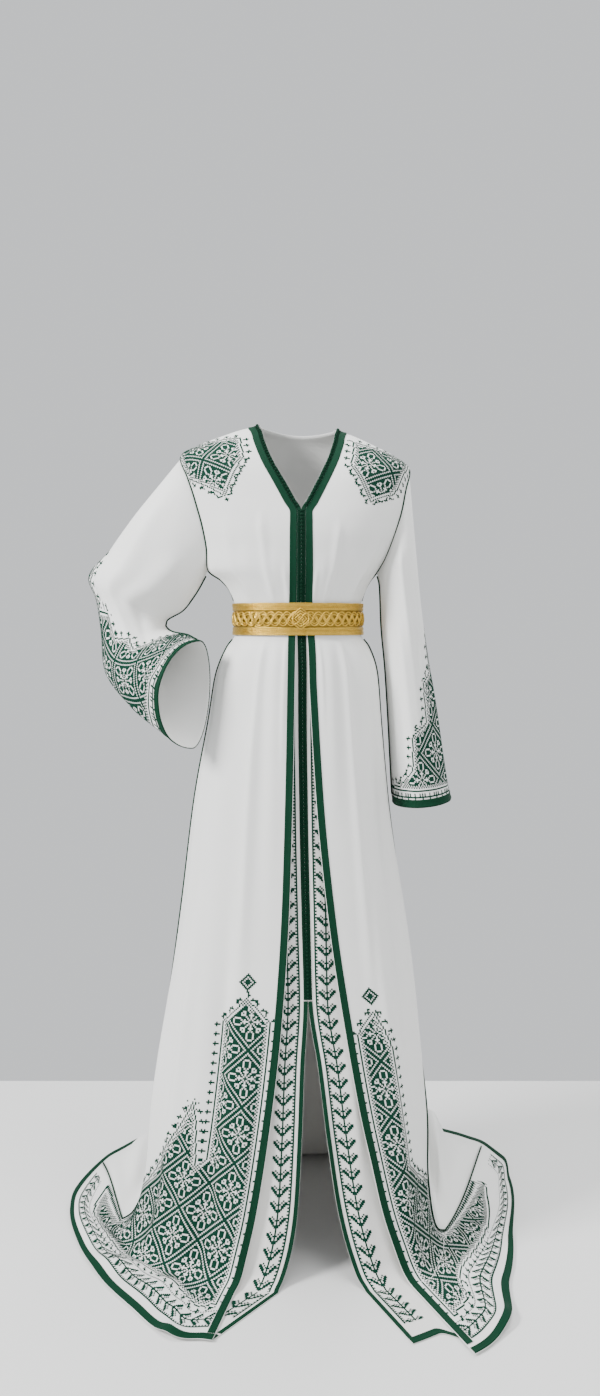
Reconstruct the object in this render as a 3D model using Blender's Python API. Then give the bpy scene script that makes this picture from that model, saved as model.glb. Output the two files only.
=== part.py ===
"""A worn Moroccan kaftan in its standing pose: hollow cloth walls, braids, buttons and a gold belt.

Lengths are in metres. Heights in the tables are above the floor that the hem trails on, and the
empty "shoulder_mount" lowers them so that the origin is the level of the shoulders that hold it.
The wearer faces -Y, so the wearer's right side is at -X.
Run with: blender --background --python part.py
"""

import math

import bmesh
import bpy
import numpy as np

# Driving sizes
SHOULDER_HEIGHT = 1.58
CLOTH = 0.0016
GAP = 0.0003
BRAID_THICK = 0.0012
BRAID_WIDTH = 0.014
LOOP_EDGE_WIDTH = 0.0084
BUTTON_PITCH = 0.007
BUTTON_HEIGHT = 0.0036
CORD_RADIUS = 0.0012
HEM_BRAID_WIDTH = 0.015
LAYER_INSET = 0.006
LOWER_LAYER_INSET = 0.014
BELT_OFFSET = 0.0026
SHOULDER_TILT = -0.053
KNOT_WAIST = 0.45
KNOT_SHOULDER = 0.3
LOOP_EDGE_INSET = 0.0006
COLUMN_SHARE = 0.94
BELOW_BELT_BRAID_INSET = 0.0008
SLIT_BRAID_DROP = 0.0021
INNER_HEM_BRAID_THICK = 0.001
INNER_BAND_WIDTH = 0.04

# Rings of the body from the neck to where the skirt touches the floor. The level of a row is its
# place in the list. side, front and back are heights; right, left, fore and aft are half-sizes
RING_COLUMNS = (
    "side", "front", "back", "right", "left", "fore", "aft", "centre", "square_right", "square_left",
)
RINGS = (
    (1.588, 1.532, 1.582, 0.074, 0.074, 0.052, 0.056, 0.006, 2.0, 2.0),
    (1.578, 1.513, 1.564, 0.110, 0.108, 0.074, 0.074, 0.006, 2.0, 2.0),
    (1.561, 1.491, 1.540, 0.154, 0.148, 0.091, 0.087, 0.007, 2.1, 2.1),
    (1.540, 1.466, 1.510, 0.202, 0.190, 0.103, 0.095, 0.009, 2.2, 2.2),
    (1.515, 1.440, 1.478, 0.238, 0.218, 0.111, 0.099, 0.011, 2.3, 2.3),
    (1.474, 1.415, 1.446, 0.230, 0.212, 0.118, 0.1015, 0.013, 2.3, 2.3),
    (1.430, 1.392, 1.414, 0.218, 0.205, 0.1235, 0.1025, 0.014, 2.3, 2.3),
    (1.385, 1.365, 1.380, 0.204, 0.192, 0.126, 0.102, 0.014, 2.3, 2.3),
    (1.340, 1.335, 1.342, 0.193, 0.174, 0.1245, 0.0995, 0.014, 2.2, 2.2),
    (1.302, 1.302, 1.302, 0.186, 0.150, 0.121, 0.096, 0.014, 2.2, 2.2),
    (1.282, 1.282, 1.282, 0.158, 0.136, 0.117, 0.092, 0.013, 2.2, 2.2),
    (1.262, 1.262, 1.262, 0.141, 0.126, 0.111, 0.088, 0.013, 2.2, 2.2),
    (1.237, 1.237, 1.237, 0.132, 0.120, 0.105, 0.085, 0.0125, 2.2, 2.2),
    (1.206, 1.206, 1.206, 0.130, 0.119, 0.103, 0.084, 0.0125, 2.2, 2.2),
    (1.174, 1.174, 1.174, 0.132, 0.120, 0.104, 0.086, 0.013, 2.2, 2.2),
    (1.150, 1.150, 1.150, 0.148, 0.134, 0.109, 0.092, 0.014, 2.2, 2.2),
    (1.100, 1.100, 1.100, 0.170, 0.149, 0.116, 0.103, 0.015, 2.2, 2.2),
    (1.000, 1.000, 1.000, 0.187, 0.157, 0.124, 0.115, 0.015, 2.1, 2.2),
    (0.850, 0.850, 0.850, 0.215, 0.169, 0.134, 0.130, 0.016, 2.1, 2.3),
    (0.650, 0.650, 0.650, 0.240, 0.194, 0.148, 0.150, 0.0165, 2.0, 2.4),
    (0.450, 0.450, 0.450, 0.266, 0.217, 0.163, 0.172, 0.0165, 2.0, 2.6),
    (0.250, 0.250, 0.250, 0.295, 0.235, 0.180, 0.200, 0.0165, 2.0, 2.8),
    (0.120, 0.120, 0.120, 0.306, 0.243, 0.193, 0.220, 0.0165, 2.0, 3.0),
    (0.050, 0.050, 0.050, 0.322, 0.252, 0.208, 0.242, 0.0165, 2.0, 3.0),
    (0.016, 0.016, 0.016, 0.342, 0.262, 0.224, 0.262, 0.0165, 2.0, 3.0),
    (0.0052, 0.0052, 0.0052, 0.360, 0.274, 0.242, 0.285, 0.0165, 2.0, 3.0),
)
TIP = 4
UNDERARM = 9
BELT_TOP = 12
WAIST = 13
BELT_FOOT = 14
TOUCH = len(RINGS) - 1
HEM = TOUCH + 4

# Height of each layer's outer face where it lies on the floor
FLOOR_LIFT_OUTER = 0.0052
FLOOR_LIFT_INNER = 0.0017

# Where the cloth ends on the floor: cloth is the angle on the touching ring, floor is the angle
# from the front on the floor, and reach is the distance from the centre
HEM_COLUMNS = ("cloth", "floor", "reach")
OUTER_HEM_RIGHT = (
    (0, 0, 0.36), (30, 25.4, 0.389), (36, 32.9, 0.413), (48, 48, 0.403), (60, 63.3, 0.414),
    (70, 79.8, 0.440), (79, 95.2, 0.477), (84, 104, 0.494), (90, 117.3, 0.501),
    (110, 135, 0.505), (130, 150, 0.47), (155, 165, 0.44), (180, 180, 0.43),
)
OUTER_HEM_LEFT = (
    (0, 0, 0.36), (46, 39.2, 0.479), (51, 47.1, 0.473), (60, 63.6, 0.421), (68, 81.4, 0.413),
    (79, 109.6, 0.474), (83, 118.8, 0.514), (90, 126.9, 0.518), (110, 140, 0.50),
    (135, 155, 0.465), (180, 180, 0.43),
)
INNER_HEM_RIGHT = (
    (9.8, 22.7, 0.381), (20, 27, 0.379), (30, 33, 0.388), (48, 48, 0.383), (60, 63.3, 0.395),
    (70, 79.8, 0.420), (79, 95.2, 0.457), (90, 117.3, 0.48), (110, 135, 0.47),
    (130, 150, 0.44), (155, 165, 0.42), (180, 180, 0.41),
)
INNER_HEM_LEFT = (
    (26.4, 26.6, 0.402), (34, 34.5, 0.405), (42, 39.0, 0.445), (49, 47.1, 0.445),
    (59, 63.6, 0.400), (68, 81.4, 0.391), (79, 109.6, 0.454), (90, 126.9, 0.498),
    (110, 140, 0.48), (135, 155, 0.445), (180, 180, 0.41),
)

# Sideways place of each front edge at a level: right and left are distances along X
EDGE_COLUMNS = ("level", "right", "left")
NECK_EDGE = (
    (0, -0.068, 0.080), (0.5, -0.0625, 0.0785), (1, -0.0565, 0.0745), (2, -0.040, 0.061),
    (3, -0.0195, 0.0443), (4, -0.0023, 0.0285), (5.1, 0.0135, 0.0135),
)
FRONT_EDGE = (
    (5.1, 0.0135, 0.0135), (9, 0.0135, 0.0135), (12, 0.0125, 0.0125), (13, 0.0080, 0.0180),
    (14, 0.0034, 0.0243), (16, 0.0020, 0.0275), (17, 0.0005, 0.0325), (18, -0.0025, 0.0420),
    (19, -0.0088, 0.0628), (20, -0.0225, 0.0930), (21, -0.0465, 0.1310), (22, -0.0680, 0.1615),
    (23, -0.0850, 0.1850), (24, -0.0960, 0.1998), (25, -0.1058, 0.2107),
)
SLIT_TOP = 19.77
INNER_EDGE = (
    (13, 0.0138, 0.0138), (17, 0.0160, 0.0160), (18, 0.0178, 0.0178), (19, 0.0220, 0.0220),
    (19.77, 0.0258, 0.0258), (20, 0.0225, 0.0340), (21, 0.0150, 0.0600), (22, 0.0073, 0.0805),
    (23, -0.0053, 0.0999), (24, -0.0187, 0.1154), (25, -0.0280, 0.1280),
)

# Angle of the armhole's front and back edge at a level
ARMHOLE_COLUMNS = ("level", "front", "back")
ARMHOLE = (
    (4, 90, 90), (4.5, 84, 96), (5, 80, 101), (6, 77, 106), (7, 76, 107), (8, 78, 105),
    (8.5, 82, 100), (9, 90, 90),
)

# Angle of the side seams at a level, on the wearer's right and left
SEAM_COLUMNS = ("level", "right", "left")
SIDE_SEAM = ((9, 90, 90), (19, 90, 88), (21, 90, 80), (22, 90, 76), (23, 90, 76), (25, 90, 82), (29, 90, 90))

# Rows of a front: its level on the front edge and on the armhole
YOKE_ROWS = (
    (0, 4), (0.4, 4.3), (0.9, 4.65), (1.5, 5.05), (2.1, 5.5), (2.8, 6.0), (3.5, 6.5), (4.3, 7.0), (5.1, 7.5),
    (6.4, 8.1), (7.7, 8.6), (9, 9),
)
YOKE_COUNT = len(YOKE_ROWS)
YOKE_BOTTOM = 8
BACK_NECK_LEVELS = (0, 0.23, 0.62, 1.3, 2.1, 3.0)
LOWER_LEVELS = (10, 11, 12, 13, 14, 15, 16, 17, 18, 19, 20, 21, 22, 23, 24, 25, 26.3, 27.6)
INNER_LEVELS = (WAIST, 14, 15, 16.5, 18, 19, SLIT_TOP, 20.4, 21, 22, 23, 24, TOUCH, 26.3, 27.6)
SLIT_ROW = INNER_LEVELS.index(SLIT_TOP)

# Largest soft folds: angle from the front (plus is the wearer's left), half-width in degrees,
# depth outwards, and the levels where each starts and ends
FOLD_COLUMNS = ("angle", "width", "depth", "start", "end")
FOLDS = (
    (-46, 7, 0.0035, 7.6, 12.2), (-24, 6, 0.0030, 7.8, 12.2), (20, 6, 0.0030, 7.8, 12.2),
    (47, 8, 0.0035, 7.6, 12.2), (130, 9, 0.0030, 8, 12.2), (-130, 9, 0.0030, 8, 12.2),
    (-24, 6, 0.0040, 14.3, 19.5), (-60, 9, 0.0050, 14.3, 25), (-50, 5, -0.0110, 18.5, 26),
    (-40, 6, 0.0050, 16, 26), (26, 6, 0.0040, 14.3, 18.5), (55, 9, 0.0045, 14.3, 22),
    (64, 7, -0.0070, 17, 24), (120, 12, 0.0080, 15, 26), (150, 12, -0.0070, 16, 26),
    (-120, 12, 0.0080, 15, 26), (-150, 12, -0.0070, 16, 26), (180, 10, 0.0060, 15, 26),
)

# Waves where the outer layer lies on the floor: place is how far out, 0 at the touch, 1 at the hem
FLOOR_WAVE_COLUMNS = ("angle", "width", "height", "place", "spread")
FLOOR_WAVES = (
    (114, 13, 0.110, 0.40, 0.30), (98, 7, 0.020, 0.60, 0.40), (-108, 12, 0.045, 0.55, 0.35),
    (-76, 6, 0.012, 0.60, 0.40), (-50, 5, 0.008, 0.35, 0.35), (62, 6, 0.008, 0.55, 0.35),
    (150, 14, 0.030, 0.50, 0.35), (-150, 14, 0.030, 0.50, 0.35),
)

# Sleeve sections from the armhole to the cuff. over is the upper or outer line, under the inner
# one, y the depth of both, and fore and rear how far the two walls stand from their middle
SLEEVE_COLUMNS = ("over_x", "over_z", "under_x", "under_z", "y", "fore_x", "fore_y", "rear_x", "rear_y")
BENT_SLEEVE = (
    (-0.3105, 1.425, -0.198, 1.258, 0.004, 0.0, -0.066, 0.0, 0.062),
    (-0.372, 1.343, -0.226, 1.224, 0.012, 0.0, -0.066, 0.0, 0.060),
    (-0.414, 1.286, -0.2590, 1.202, 0.018, -0.002, -0.064, 0.0, 0.058),
    (-0.398, 1.248, -0.2600, 1.194, 0.014, -0.004, -0.066, 0.0, 0.058),
    (-0.384, 1.184, -0.2540, 1.186, 0.000, -0.006, -0.068, 0.004, 0.058),
    (-0.364, 1.107, -0.2380, 1.179, -0.030, -0.018, -0.066, 0.010, 0.054),
    (-0.2906, 1.030, -0.2080, 1.1745, -0.070, -0.045, -0.056, 0.018, 0.044),
    (-0.2100, 0.972, -0.1850, 1.1650, -0.096, -0.062, -0.047, 0.022, 0.036),
    (-0.1928, 0.9597, -0.1795, 1.1635, -0.103, -0.066, -0.045, 0.022, 0.035),
)
HANGING_SLEEVE = (
    (0.241, 1.354, 0.171, 1.272, 0.000, 0.0, -0.076, 0.0, 0.070),
    (0.251, 1.244, 0.174, 1.196, 0.000, 0.0, -0.079, 0.0, 0.073),
    (0.265, 1.134, 0.182, 1.106, 0.000, 0.0, -0.081, 0.0, 0.076),
    (0.283, 1.020, 0.188, 1.008, 0.000, 0.0, -0.083, 0.0, 0.079),
    (0.299, 0.914, 0.193, 0.910, 0.000, 0.0, -0.085, 0.0, 0.081),
    (0.3075, 0.866, 0.196, 0.855, 0.000, 0.0, -0.087, 0.0, 0.083),
    (0.311, 0.851, 0.1975, 0.839, 0.000, 0.0, -0.088, 0.0, 0.084),
)
SLEEVE_RINGS = 14

# Section of the belt from its foot to its top: share of its height, and how far it stands out
BELT_PROFILE_COLUMNS = ("share", "out")
BELT_PROFILE = (
    (0.0, 0.0016), (0.08, 0.0028), (0.16, 0.0018), (0.20, 0.0028), (0.25, 0.0020), (0.30, 0.0036),
    (0.50, 0.0042), (0.70, 0.0036), (0.75, 0.0020), (0.80, 0.0028), (0.84, 0.0018), (0.92, 0.0028),
    (1.0, 0.0016),
)
BELT_LINING_SHARES = (0.97, 0.5, 0.03)
BELT_STEPS = 36

# The woven diamond on the belt's middle
DIAMOND_CENTRE = 0.0125
DIAMOND_HALF_WIDTH = 0.024
DIAMOND_HALF_HEIGHT = 0.021
DIAMOND_LIFT = 0.0048
DIAMOND_RIM = 0.0006
DIAMOND_BULGE = 0.0042
DIAMOND_RIPPLE = 0.0008
DIAMOND_COLUMNS = 10
DIAMOND_ROWS = 8

# Colours and finishes
IVORY = (0.80, 0.79, 0.75)
SATIN = (0.72, 0.70, 0.64)
GREEN = (0.006, 0.035, 0.024)
GOLD = (0.52, 0.38, 0.14)
CLOTH_FINISH = (0.65, 0.0)
BRAID_FINISH = (0.6, 0.0)
GOLD_FINISH = (0.38, 0.8)


def start_collection(name):
    """Empty the scene and return a new collection for the parts."""
    for old in list(bpy.data.objects):
        bpy.data.objects.remove(old, do_unlink=True)
    collection = bpy.data.collections.new(name)
    bpy.context.scene.collection.children.link(collection)
    return collection


def material(name, colour, finish):
    """A plain surface with a colour, a roughness and a metallic value."""
    made = bpy.data.materials.new(name)
    made.use_nodes = True
    shader = made.node_tree.nodes["Principled BSDF"]
    shader.inputs["Base Color"].default_value = (*colour, 1.0)
    shader.inputs["Roughness"].default_value = finish[0]
    shader.inputs["Metallic"].default_value = finish[1]
    return made


def column(rows, names, name):
    """One named column of a table, as an array."""
    return np.array([row[names.index(name)] for row in rows], dtype=float)


def follow(stops, values, at):
    """Smooth curve through a table's values that never swings past them."""
    stops = np.asarray(stops, dtype=float)
    values = np.asarray(values, dtype=float)
    at = min(max(at, stops[0]), stops[-1])
    place = min(int(np.searchsorted(stops, at, side="right")) - 1, len(stops) - 2)
    steps = np.diff(stops)
    slopes = np.diff(values) / steps
    ends = np.concatenate(([slopes[0]], slopes, [slopes[-1]]))

    def bend(index):
        before = ends[index]
        after = ends[index + 1]
        if before * after <= 0:
            return 0.0
        return 2 * before * after / (before + after)

    step = steps[place]
    part = (at - stops[place]) / step
    start, end = values[place], values[place + 1]
    first, last = bend(place) * step, bend(place + 1) * step
    square, cube = part * part, part ** 3
    return (
        start * (2 * cube - 3 * square + 1) + first * (cube - 2 * square + part)
        + end * (3 * square - 2 * cube) + last * (cube - square)
    )


def read(rows, names, key, name, at):
    """A table's smooth value of one column at a place along its key column."""
    return follow(column(rows, names, key), column(rows, names, name), at)


RING_VALUES = {name: column(RINGS, RING_COLUMNS, name) for name in RING_COLUMNS}
RING_LEVELS = np.arange(len(RINGS), dtype=float)


def ring_value(name, level):
    """One value of the body's rings at a level between them."""
    return follow(RING_LEVELS, RING_VALUES[name], level)


def ease(part):
    """Smooth step from 0 to 1."""
    part = min(max(part, 0.0), 1.0)
    return part * part * (3 - 2 * part)


def turn_between(first, second):
    """Smallest difference of two angles in degrees."""
    return (first - second + 180) % 360 - 180


def fold_depth(angle, level):
    """How far the soft folds stand out at a place."""
    depth = 0.0
    fade = 1.5
    for row in FOLDS:
        fold = dict(zip(FOLD_COLUMNS, row))
        near = math.exp(-((turn_between(angle, fold["angle"]) / fold["width"]) ** 2))
        shown = ease((level - fold["start"]) / fade) * ease((fold["end"] - level) / fade)
        depth += fold["depth"] * near * shown
    return depth


def wave_height(angle, place):
    """How high the outer layer's waves stand on the floor."""
    height = 0.0
    rim = 0.25
    for row in FLOOR_WAVES:
        wave = dict(zip(FLOOR_WAVE_COLUMNS, row))
        near = math.exp(-((turn_between(angle, wave["angle"]) / wave["width"]) ** 2))
        height += wave["height"] * near * math.exp(-(((place - wave["place"]) / wave["spread"]) ** 2))
    return height * ease(place / rim) * ease((1 - place) / rim)


def layer_inset(level, inner):
    """How far the inner layer hangs inside the outer one."""
    if not inner:
        return 0.0
    start, levels = 14.5, 3.5
    return LAYER_INSET + (LOWER_LAYER_INSET - LAYER_INSET) * ease((level - start) / levels)


def standing_point(angle, level, inner):
    """A point of the body or the skirt above the floor."""
    inset = layer_inset(level, inner)
    half = ring_value("left" if angle >= 0 else "right", level) - inset
    fore = abs(angle) <= 90
    depth = ring_value("fore" if fore else "aft", level) - inset
    square = ring_value("square_left" if angle >= 0 else "square_right", level)
    turn = math.radians(abs(angle))
    across, ahead = math.sin(turn), math.cos(turn)
    reach = (abs(across / half) ** square + abs(ahead / depth) ** square) ** (-1 / square)
    if not inner:
        reach += fold_depth(angle, level)
    x = ring_value("centre", level) + math.copysign(reach * across, angle)
    end = ring_value("front" if fore else "back", level)
    height = end + (ring_value("side", level) - end) * across ** 2
    waist, tip = RING_VALUES["side"][WAIST], RING_VALUES["side"][TIP]
    height += SHOULDER_TILT * x * ease((height - waist) / (tip - waist))
    return np.array((x, -reach * ahead, height))


def body_point(angle, level, inner=False):
    """A point of the outer face of the outer layer, or of the inner layer."""
    point = standing_point(angle, min(level, TOUCH), inner)
    if inner:
        settle = ease((level - TOUCH + 2) / 2)
        point[2] -= (FLOOR_LIFT_OUTER - FLOOR_LIFT_INNER) * settle
    if level <= TOUCH:
        return point
    place = (level - TOUCH) / (HEM - TOUCH)
    if inner:
        table = INNER_HEM_LEFT if angle >= 0 else INNER_HEM_RIGHT
    else:
        table = OUTER_HEM_LEFT if angle >= 0 else OUTER_HEM_RIGHT
    floor = math.radians(read(table, HEM_COLUMNS, "cloth", "floor", abs(angle)))
    reach = read(table, HEM_COLUMNS, "cloth", "reach", abs(angle))
    centre = RING_VALUES["centre"][TOUCH]
    across = math.copysign(reach * math.sin(floor), angle)
    end = np.array((centre + across, -reach * math.cos(floor), point[2]))
    point = point + (end - point) * place
    if not inner:
        point[2] += wave_height(angle, place)
    return point


def body_normal(angle, level, inner=False):
    """The outward direction of the cloth at a place."""
    turn, rise = 0.4, 0.04
    across = body_point(angle + turn, level, inner) - body_point(angle - turn, level, inner)
    high = max(level - rise, 0.0)
    low = min(level + rise, HEM)
    down = body_point(angle, low, inner) - body_point(angle, high, inner)
    normal = np.cross(down, across)
    return normal / np.linalg.norm(normal)


def angle_at(x, level, inner=False):
    """The angle on the front half of a ring where it passes a sideways place."""
    low, high = -90.0, 90.0
    for _ in range(30):
        middle = (low + high) / 2
        if standing_point(middle, min(level, TOUCH), inner)[0] < x:
            low = middle
        else:
            high = middle
    return (low + high) / 2


def seam_half_gap(angle, level, inner=False):
    """Half a seam's gap as an angle."""
    step = 0.5
    across = body_point(angle + step, level, inner) - body_point(angle - step, level, inner)
    return GAP / 2 / np.linalg.norm(across) * 2 * step


def edge_angle(side, level, inner=False):
    """The angle of a front's own edge at a level, with half the gap where both fronts meet."""
    name = "right" if side < 0 else "left"
    closed = FRONT_EDGE[2][0] if not inner else SLIT_TOP
    if inner:
        x = read(INNER_EDGE, EDGE_COLUMNS, "level", name, level)
    elif level < FRONT_EDGE[0][0]:
        x = read(NECK_EDGE, EDGE_COLUMNS, "level", name, level)
    else:
        x = read(FRONT_EDGE, EDGE_COLUMNS, "level", name, level)
    if level <= 0:
        return side * 90.0
    angle = angle_at(x, level, inner)
    if level <= closed:
        angle += side * seam_half_gap(angle, level, inner)
    return angle


def side_angle(side, level):
    """The angle of a side seam at a level."""
    name = "right" if side < 0 else "left"
    return side * read(SIDE_SEAM, SEAM_COLUMNS, "level", name, level)


class Patch:
    """A grid of places on the cloth, with the outer points and the outward directions."""

    def __init__(self, places, inner=False):
        self.points = np.array([[body_point(a, l, inner) for a, l in row] for row in places])
        self.normals = np.array([[body_normal(a, l, inner) for a, l in row] for row in places])

    def moved(self, distance):
        return self.points + self.normals * distance

    def part(self, rows, columns):
        chosen = Patch.__new__(Patch)
        chosen.points = self.points[rows, columns]
        chosen.normals = self.normals[rows, columns]
        return chosen


def row_places(begin, finish, offsets, count, inner=False):
    """Places along one row of a front: its edge, both sides of the braid, then even steps to its seam."""
    steps = 16
    begin, finish = np.array(begin, dtype=float), np.array(finish, dtype=float)
    shares = np.arange(steps + 1) / steps
    line = np.array([body_point(*(begin + (finish - begin) * share), inner) for share in shares])
    lengths = np.concatenate(([0], np.cumsum(np.linalg.norm(np.diff(line, axis=0), axis=1))))
    first, second = (float(np.interp(offset, lengths, shares)) for offset in offsets)
    rest = [second + (1 - second) * step / count for step in range(1, count + 1)]
    return [tuple(begin + (finish - begin) * share) for share in (0.0, first, second, *rest)]


def braid_offsets(level):
    """How far the braid's two sides lie from a front's edge."""
    inner_side = LOOP_EDGE_WIDTH
    if level > BELT_TOP:
        inner_side += (BELOW_BELT_BRAID_INSET - LOOP_EDGE_WIDTH) * ease((level - BELT_TOP) / 2)
    return inner_side, inner_side + BRAID_WIDTH


def hem_rise(side):
    """The level that lies a hem braid's width in from the hem."""
    angle = side * 60
    length = np.linalg.norm(body_point(angle, HEM) - body_point(angle, HEM - 1))
    return HEM - HEM_BRAID_WIDTH / length


def front_places(side):
    """Places of an outer front, from the shoulder seam to the hem."""
    rows = []
    count = 9
    for edge_level, arm_level in YOKE_ROWS:
        arm = side * read(ARMHOLE, ARMHOLE_COLUMNS, "level", "front", arm_level)
        if arm_level in (TIP, UNDERARM):
            arm -= side * seam_half_gap(arm, arm_level)
        edge = edge_angle(side, edge_level)
        if edge_level == 0:
            edge -= side * seam_half_gap(edge, 0)
        rows.append(row_places((edge, edge_level), (arm, arm_level), braid_offsets(edge_level), count))
    for level in (*LOWER_LEVELS, hem_rise(side), HEM):
        finish = side_angle(side, level)
        finish -= side * seam_half_gap(finish, level)
        begin = edge_angle(side, min(level, TOUCH))
        rows.append(row_places((begin, level), (finish, level), braid_offsets(level), count))
    return rows


def back_places():
    """Places of the back, from the wearer's right seam round to the left one."""
    rows = []
    half_count = 8
    arm_levels = [row[1] for row in YOKE_ROWS]
    for level in (*BACK_NECK_LEVELS, *arm_levels, *LOWER_LEVELS, None, HEM):
        ends = []
        for side in (-1, 1):
            at = hem_rise(side) if level is None else level
            if TIP < at < UNDERARM:
                angle = side * read(ARMHOLE, ARMHOLE_COLUMNS, "level", "back", at)
            else:
                angle = side_angle(side, at)
                angle += side * seam_half_gap(angle, at)
            ends.append((angle, at))
        right, left = ends
        row = []
        for step in range(half_count):
            share = step / half_count
            row.append((-180 - (-180 - right[0]) * (1 - share), right[1]))
        middle = (right[1] + left[1]) / 2
        row.append((-180, middle))
        for step in range(1, half_count + 1):
            share = step / half_count
            row.append((180 + (left[0] - 180) * share, left[1]))
        rows.append(row)
    return rows


def inner_front_places(side):
    """Places of an inner front, from under the belt to its hem."""
    rows = []
    count = 4
    for level in (*INNER_LEVELS, hem_rise(side), HEM):
        finish = side_angle(side, level)
        finish -= side * seam_half_gap(finish, level, True)
        begin = edge_angle(side, min(level, TOUCH), True)
        offsets = (LOOP_EDGE_WIDTH, LOOP_EDGE_WIDTH + INNER_BAND_WIDTH)
        rows.append(row_places((begin, level), (finish, level), offsets, count, True))
    return rows


def inner_back_places():
    """Places of the inner back, from the wearer's right seam round to the left one."""
    rows = []
    half_count = 6
    for level in (*INNER_LEVELS, hem_rise(1), HEM):
        row = []
        for step in range(2 * half_count + 1):
            side = -1 if step < half_count else 1
            share = abs(step - half_count) / half_count
            end = side_angle(side, level)
            end += side * seam_half_gap(end, level, True)
            row.append((side * 180 + (end - side * 180) * share, level))
        rows.append(row)
    return rows


def add_object(name, bm, surface, collection):
    """Put a bmesh into a named object with its material, under the shoulder mount."""
    bmesh.ops.recalc_face_normals(bm, faces=bm.faces)
    mesh = bpy.data.meshes.new(name)
    bm.to_mesh(mesh)
    bm.free()
    for face in mesh.polygons:
        face.use_smooth = True
    made = bpy.data.objects.new(name, mesh)
    made.data.materials.append(surface.copy())
    made.data.materials[0].name = name
    made.parent = bpy.data.objects["shoulder_mount"]
    collection.objects.link(made)
    return made


def loft(name, outer, lining, surface, collection, around=False):
    """A closed wall between an outer and an inner grid of points, each cell cut the same way."""
    rows, columns = outer.shape[:2]
    bm = bmesh.new()
    top, under = ([[bm.verts.new(point) for point in row] for row in grid] for grid in (outer, lining))
    last = columns if around else columns - 1

    def cell(a, b, c, d):
        bm.faces.new((a, b, c))
        bm.faces.new((a, c, d))

    for row in range(rows - 1):
        for place in range(last):
            after = (place + 1) % columns
            for grid in (top, under):
                cell(grid[row][place], grid[row][after], grid[row + 1][after], grid[row + 1][place])
    for row in (0, rows - 1):
        for place in range(last):
            after = (place + 1) % columns
            cell(top[row][place], top[row][after], under[row][after], under[row][place])
    if not around:
        for place in (0, columns - 1):
            for row in range(rows - 1):
                cell(top[row][place], top[row + 1][place], under[row + 1][place], under[row][place])
    return add_object(name, bm, surface, collection)


def cloth_wall(name, patch, surface, collection):
    """A panel of cloth: its outer points, and the same points moved in by its thickness."""
    return loft(name, patch.points, patch.moved(-CLOTH), surface, collection)


def braid(name, patch, surface, collection, thick=BRAID_THICK):
    """A flat strip that lies on a panel's own points."""
    return loft(name, patch.moved(GAP + thick), patch.moved(GAP), surface, collection)


def walk(points, normals, distances):
    """Points and directions at given lengths along a row of rails."""
    middle = points[:, points.shape[1] // 2]
    lengths = np.concatenate(([0], np.cumsum(np.linalg.norm(np.diff(middle, axis=0), axis=1))))
    walked, facing = [], []
    for distance in distances:
        place = min(int(np.searchsorted(lengths, distance, side="right")) - 1, len(lengths) - 2)
        share = (distance - lengths[place]) / (lengths[place + 1] - lengths[place])
        walked.append(points[place] + (points[place + 1] - points[place]) * share)
        facing.append(normals[place] + (normals[place + 1] - normals[place]) * share)
    return np.array(walked), np.array(facing)


def rail_length(points):
    """Length along the middle of a row of rails."""
    middle = points[:, points.shape[1] // 2]
    return float(np.sum(np.linalg.norm(np.diff(middle, axis=0), axis=1)))


def knot_row(name, points, normals, start, end, surface, collection):
    """A strip of small knotted buttons on rails of points: a knob at each pitch, a waist between."""
    knobs = int((end - start) / BUTTON_PITCH)
    distances = [start + (end - start) * step / (2 * knobs) for step in range(2 * knobs + 1)]
    walked, facing = walk(points, normals, distances)
    under = walked + facing * 2 * GAP
    rails = walked.shape[1]
    half = (rails - 1) / 2
    tops = under.copy()
    for step in range(len(distances)):
        height = BUTTON_HEIGHT if step % 2 else BUTTON_HEIGHT * KNOT_WAIST
        for rail in range(rails):
            share = abs(rail - half) / half
            tops[step, rail] += facing[step, rail] * height * (1 - (1 - KNOT_SHOULDER) * share)
    return loft(name, tops, under, surface, collection)


def piping(name, line, directions, surface, collection, closed=False):
    """A thin cord that lies on a seam."""
    curve = bpy.data.curves.new(name, "CURVE")
    curve.dimensions = "3D"
    curve.bevel_depth = CORD_RADIUS
    curve.bevel_resolution = 0
    curve.use_fill_caps = True
    lift = CORD_RADIUS + 3 * GAP
    spline = curve.splines.new("POLY")
    spline.points.add(len(line) - 1)
    for point, place, direction in zip(spline.points, line, directions):
        point.co = (*(place + direction * lift), 1.0)
    spline.use_cyclic_u = closed
    made = bpy.data.objects.new(name, curve)
    made.data.materials.append(surface.copy())
    made.parent = bpy.data.objects["shoulder_mount"]
    collection.objects.link(made)
    return made


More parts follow.
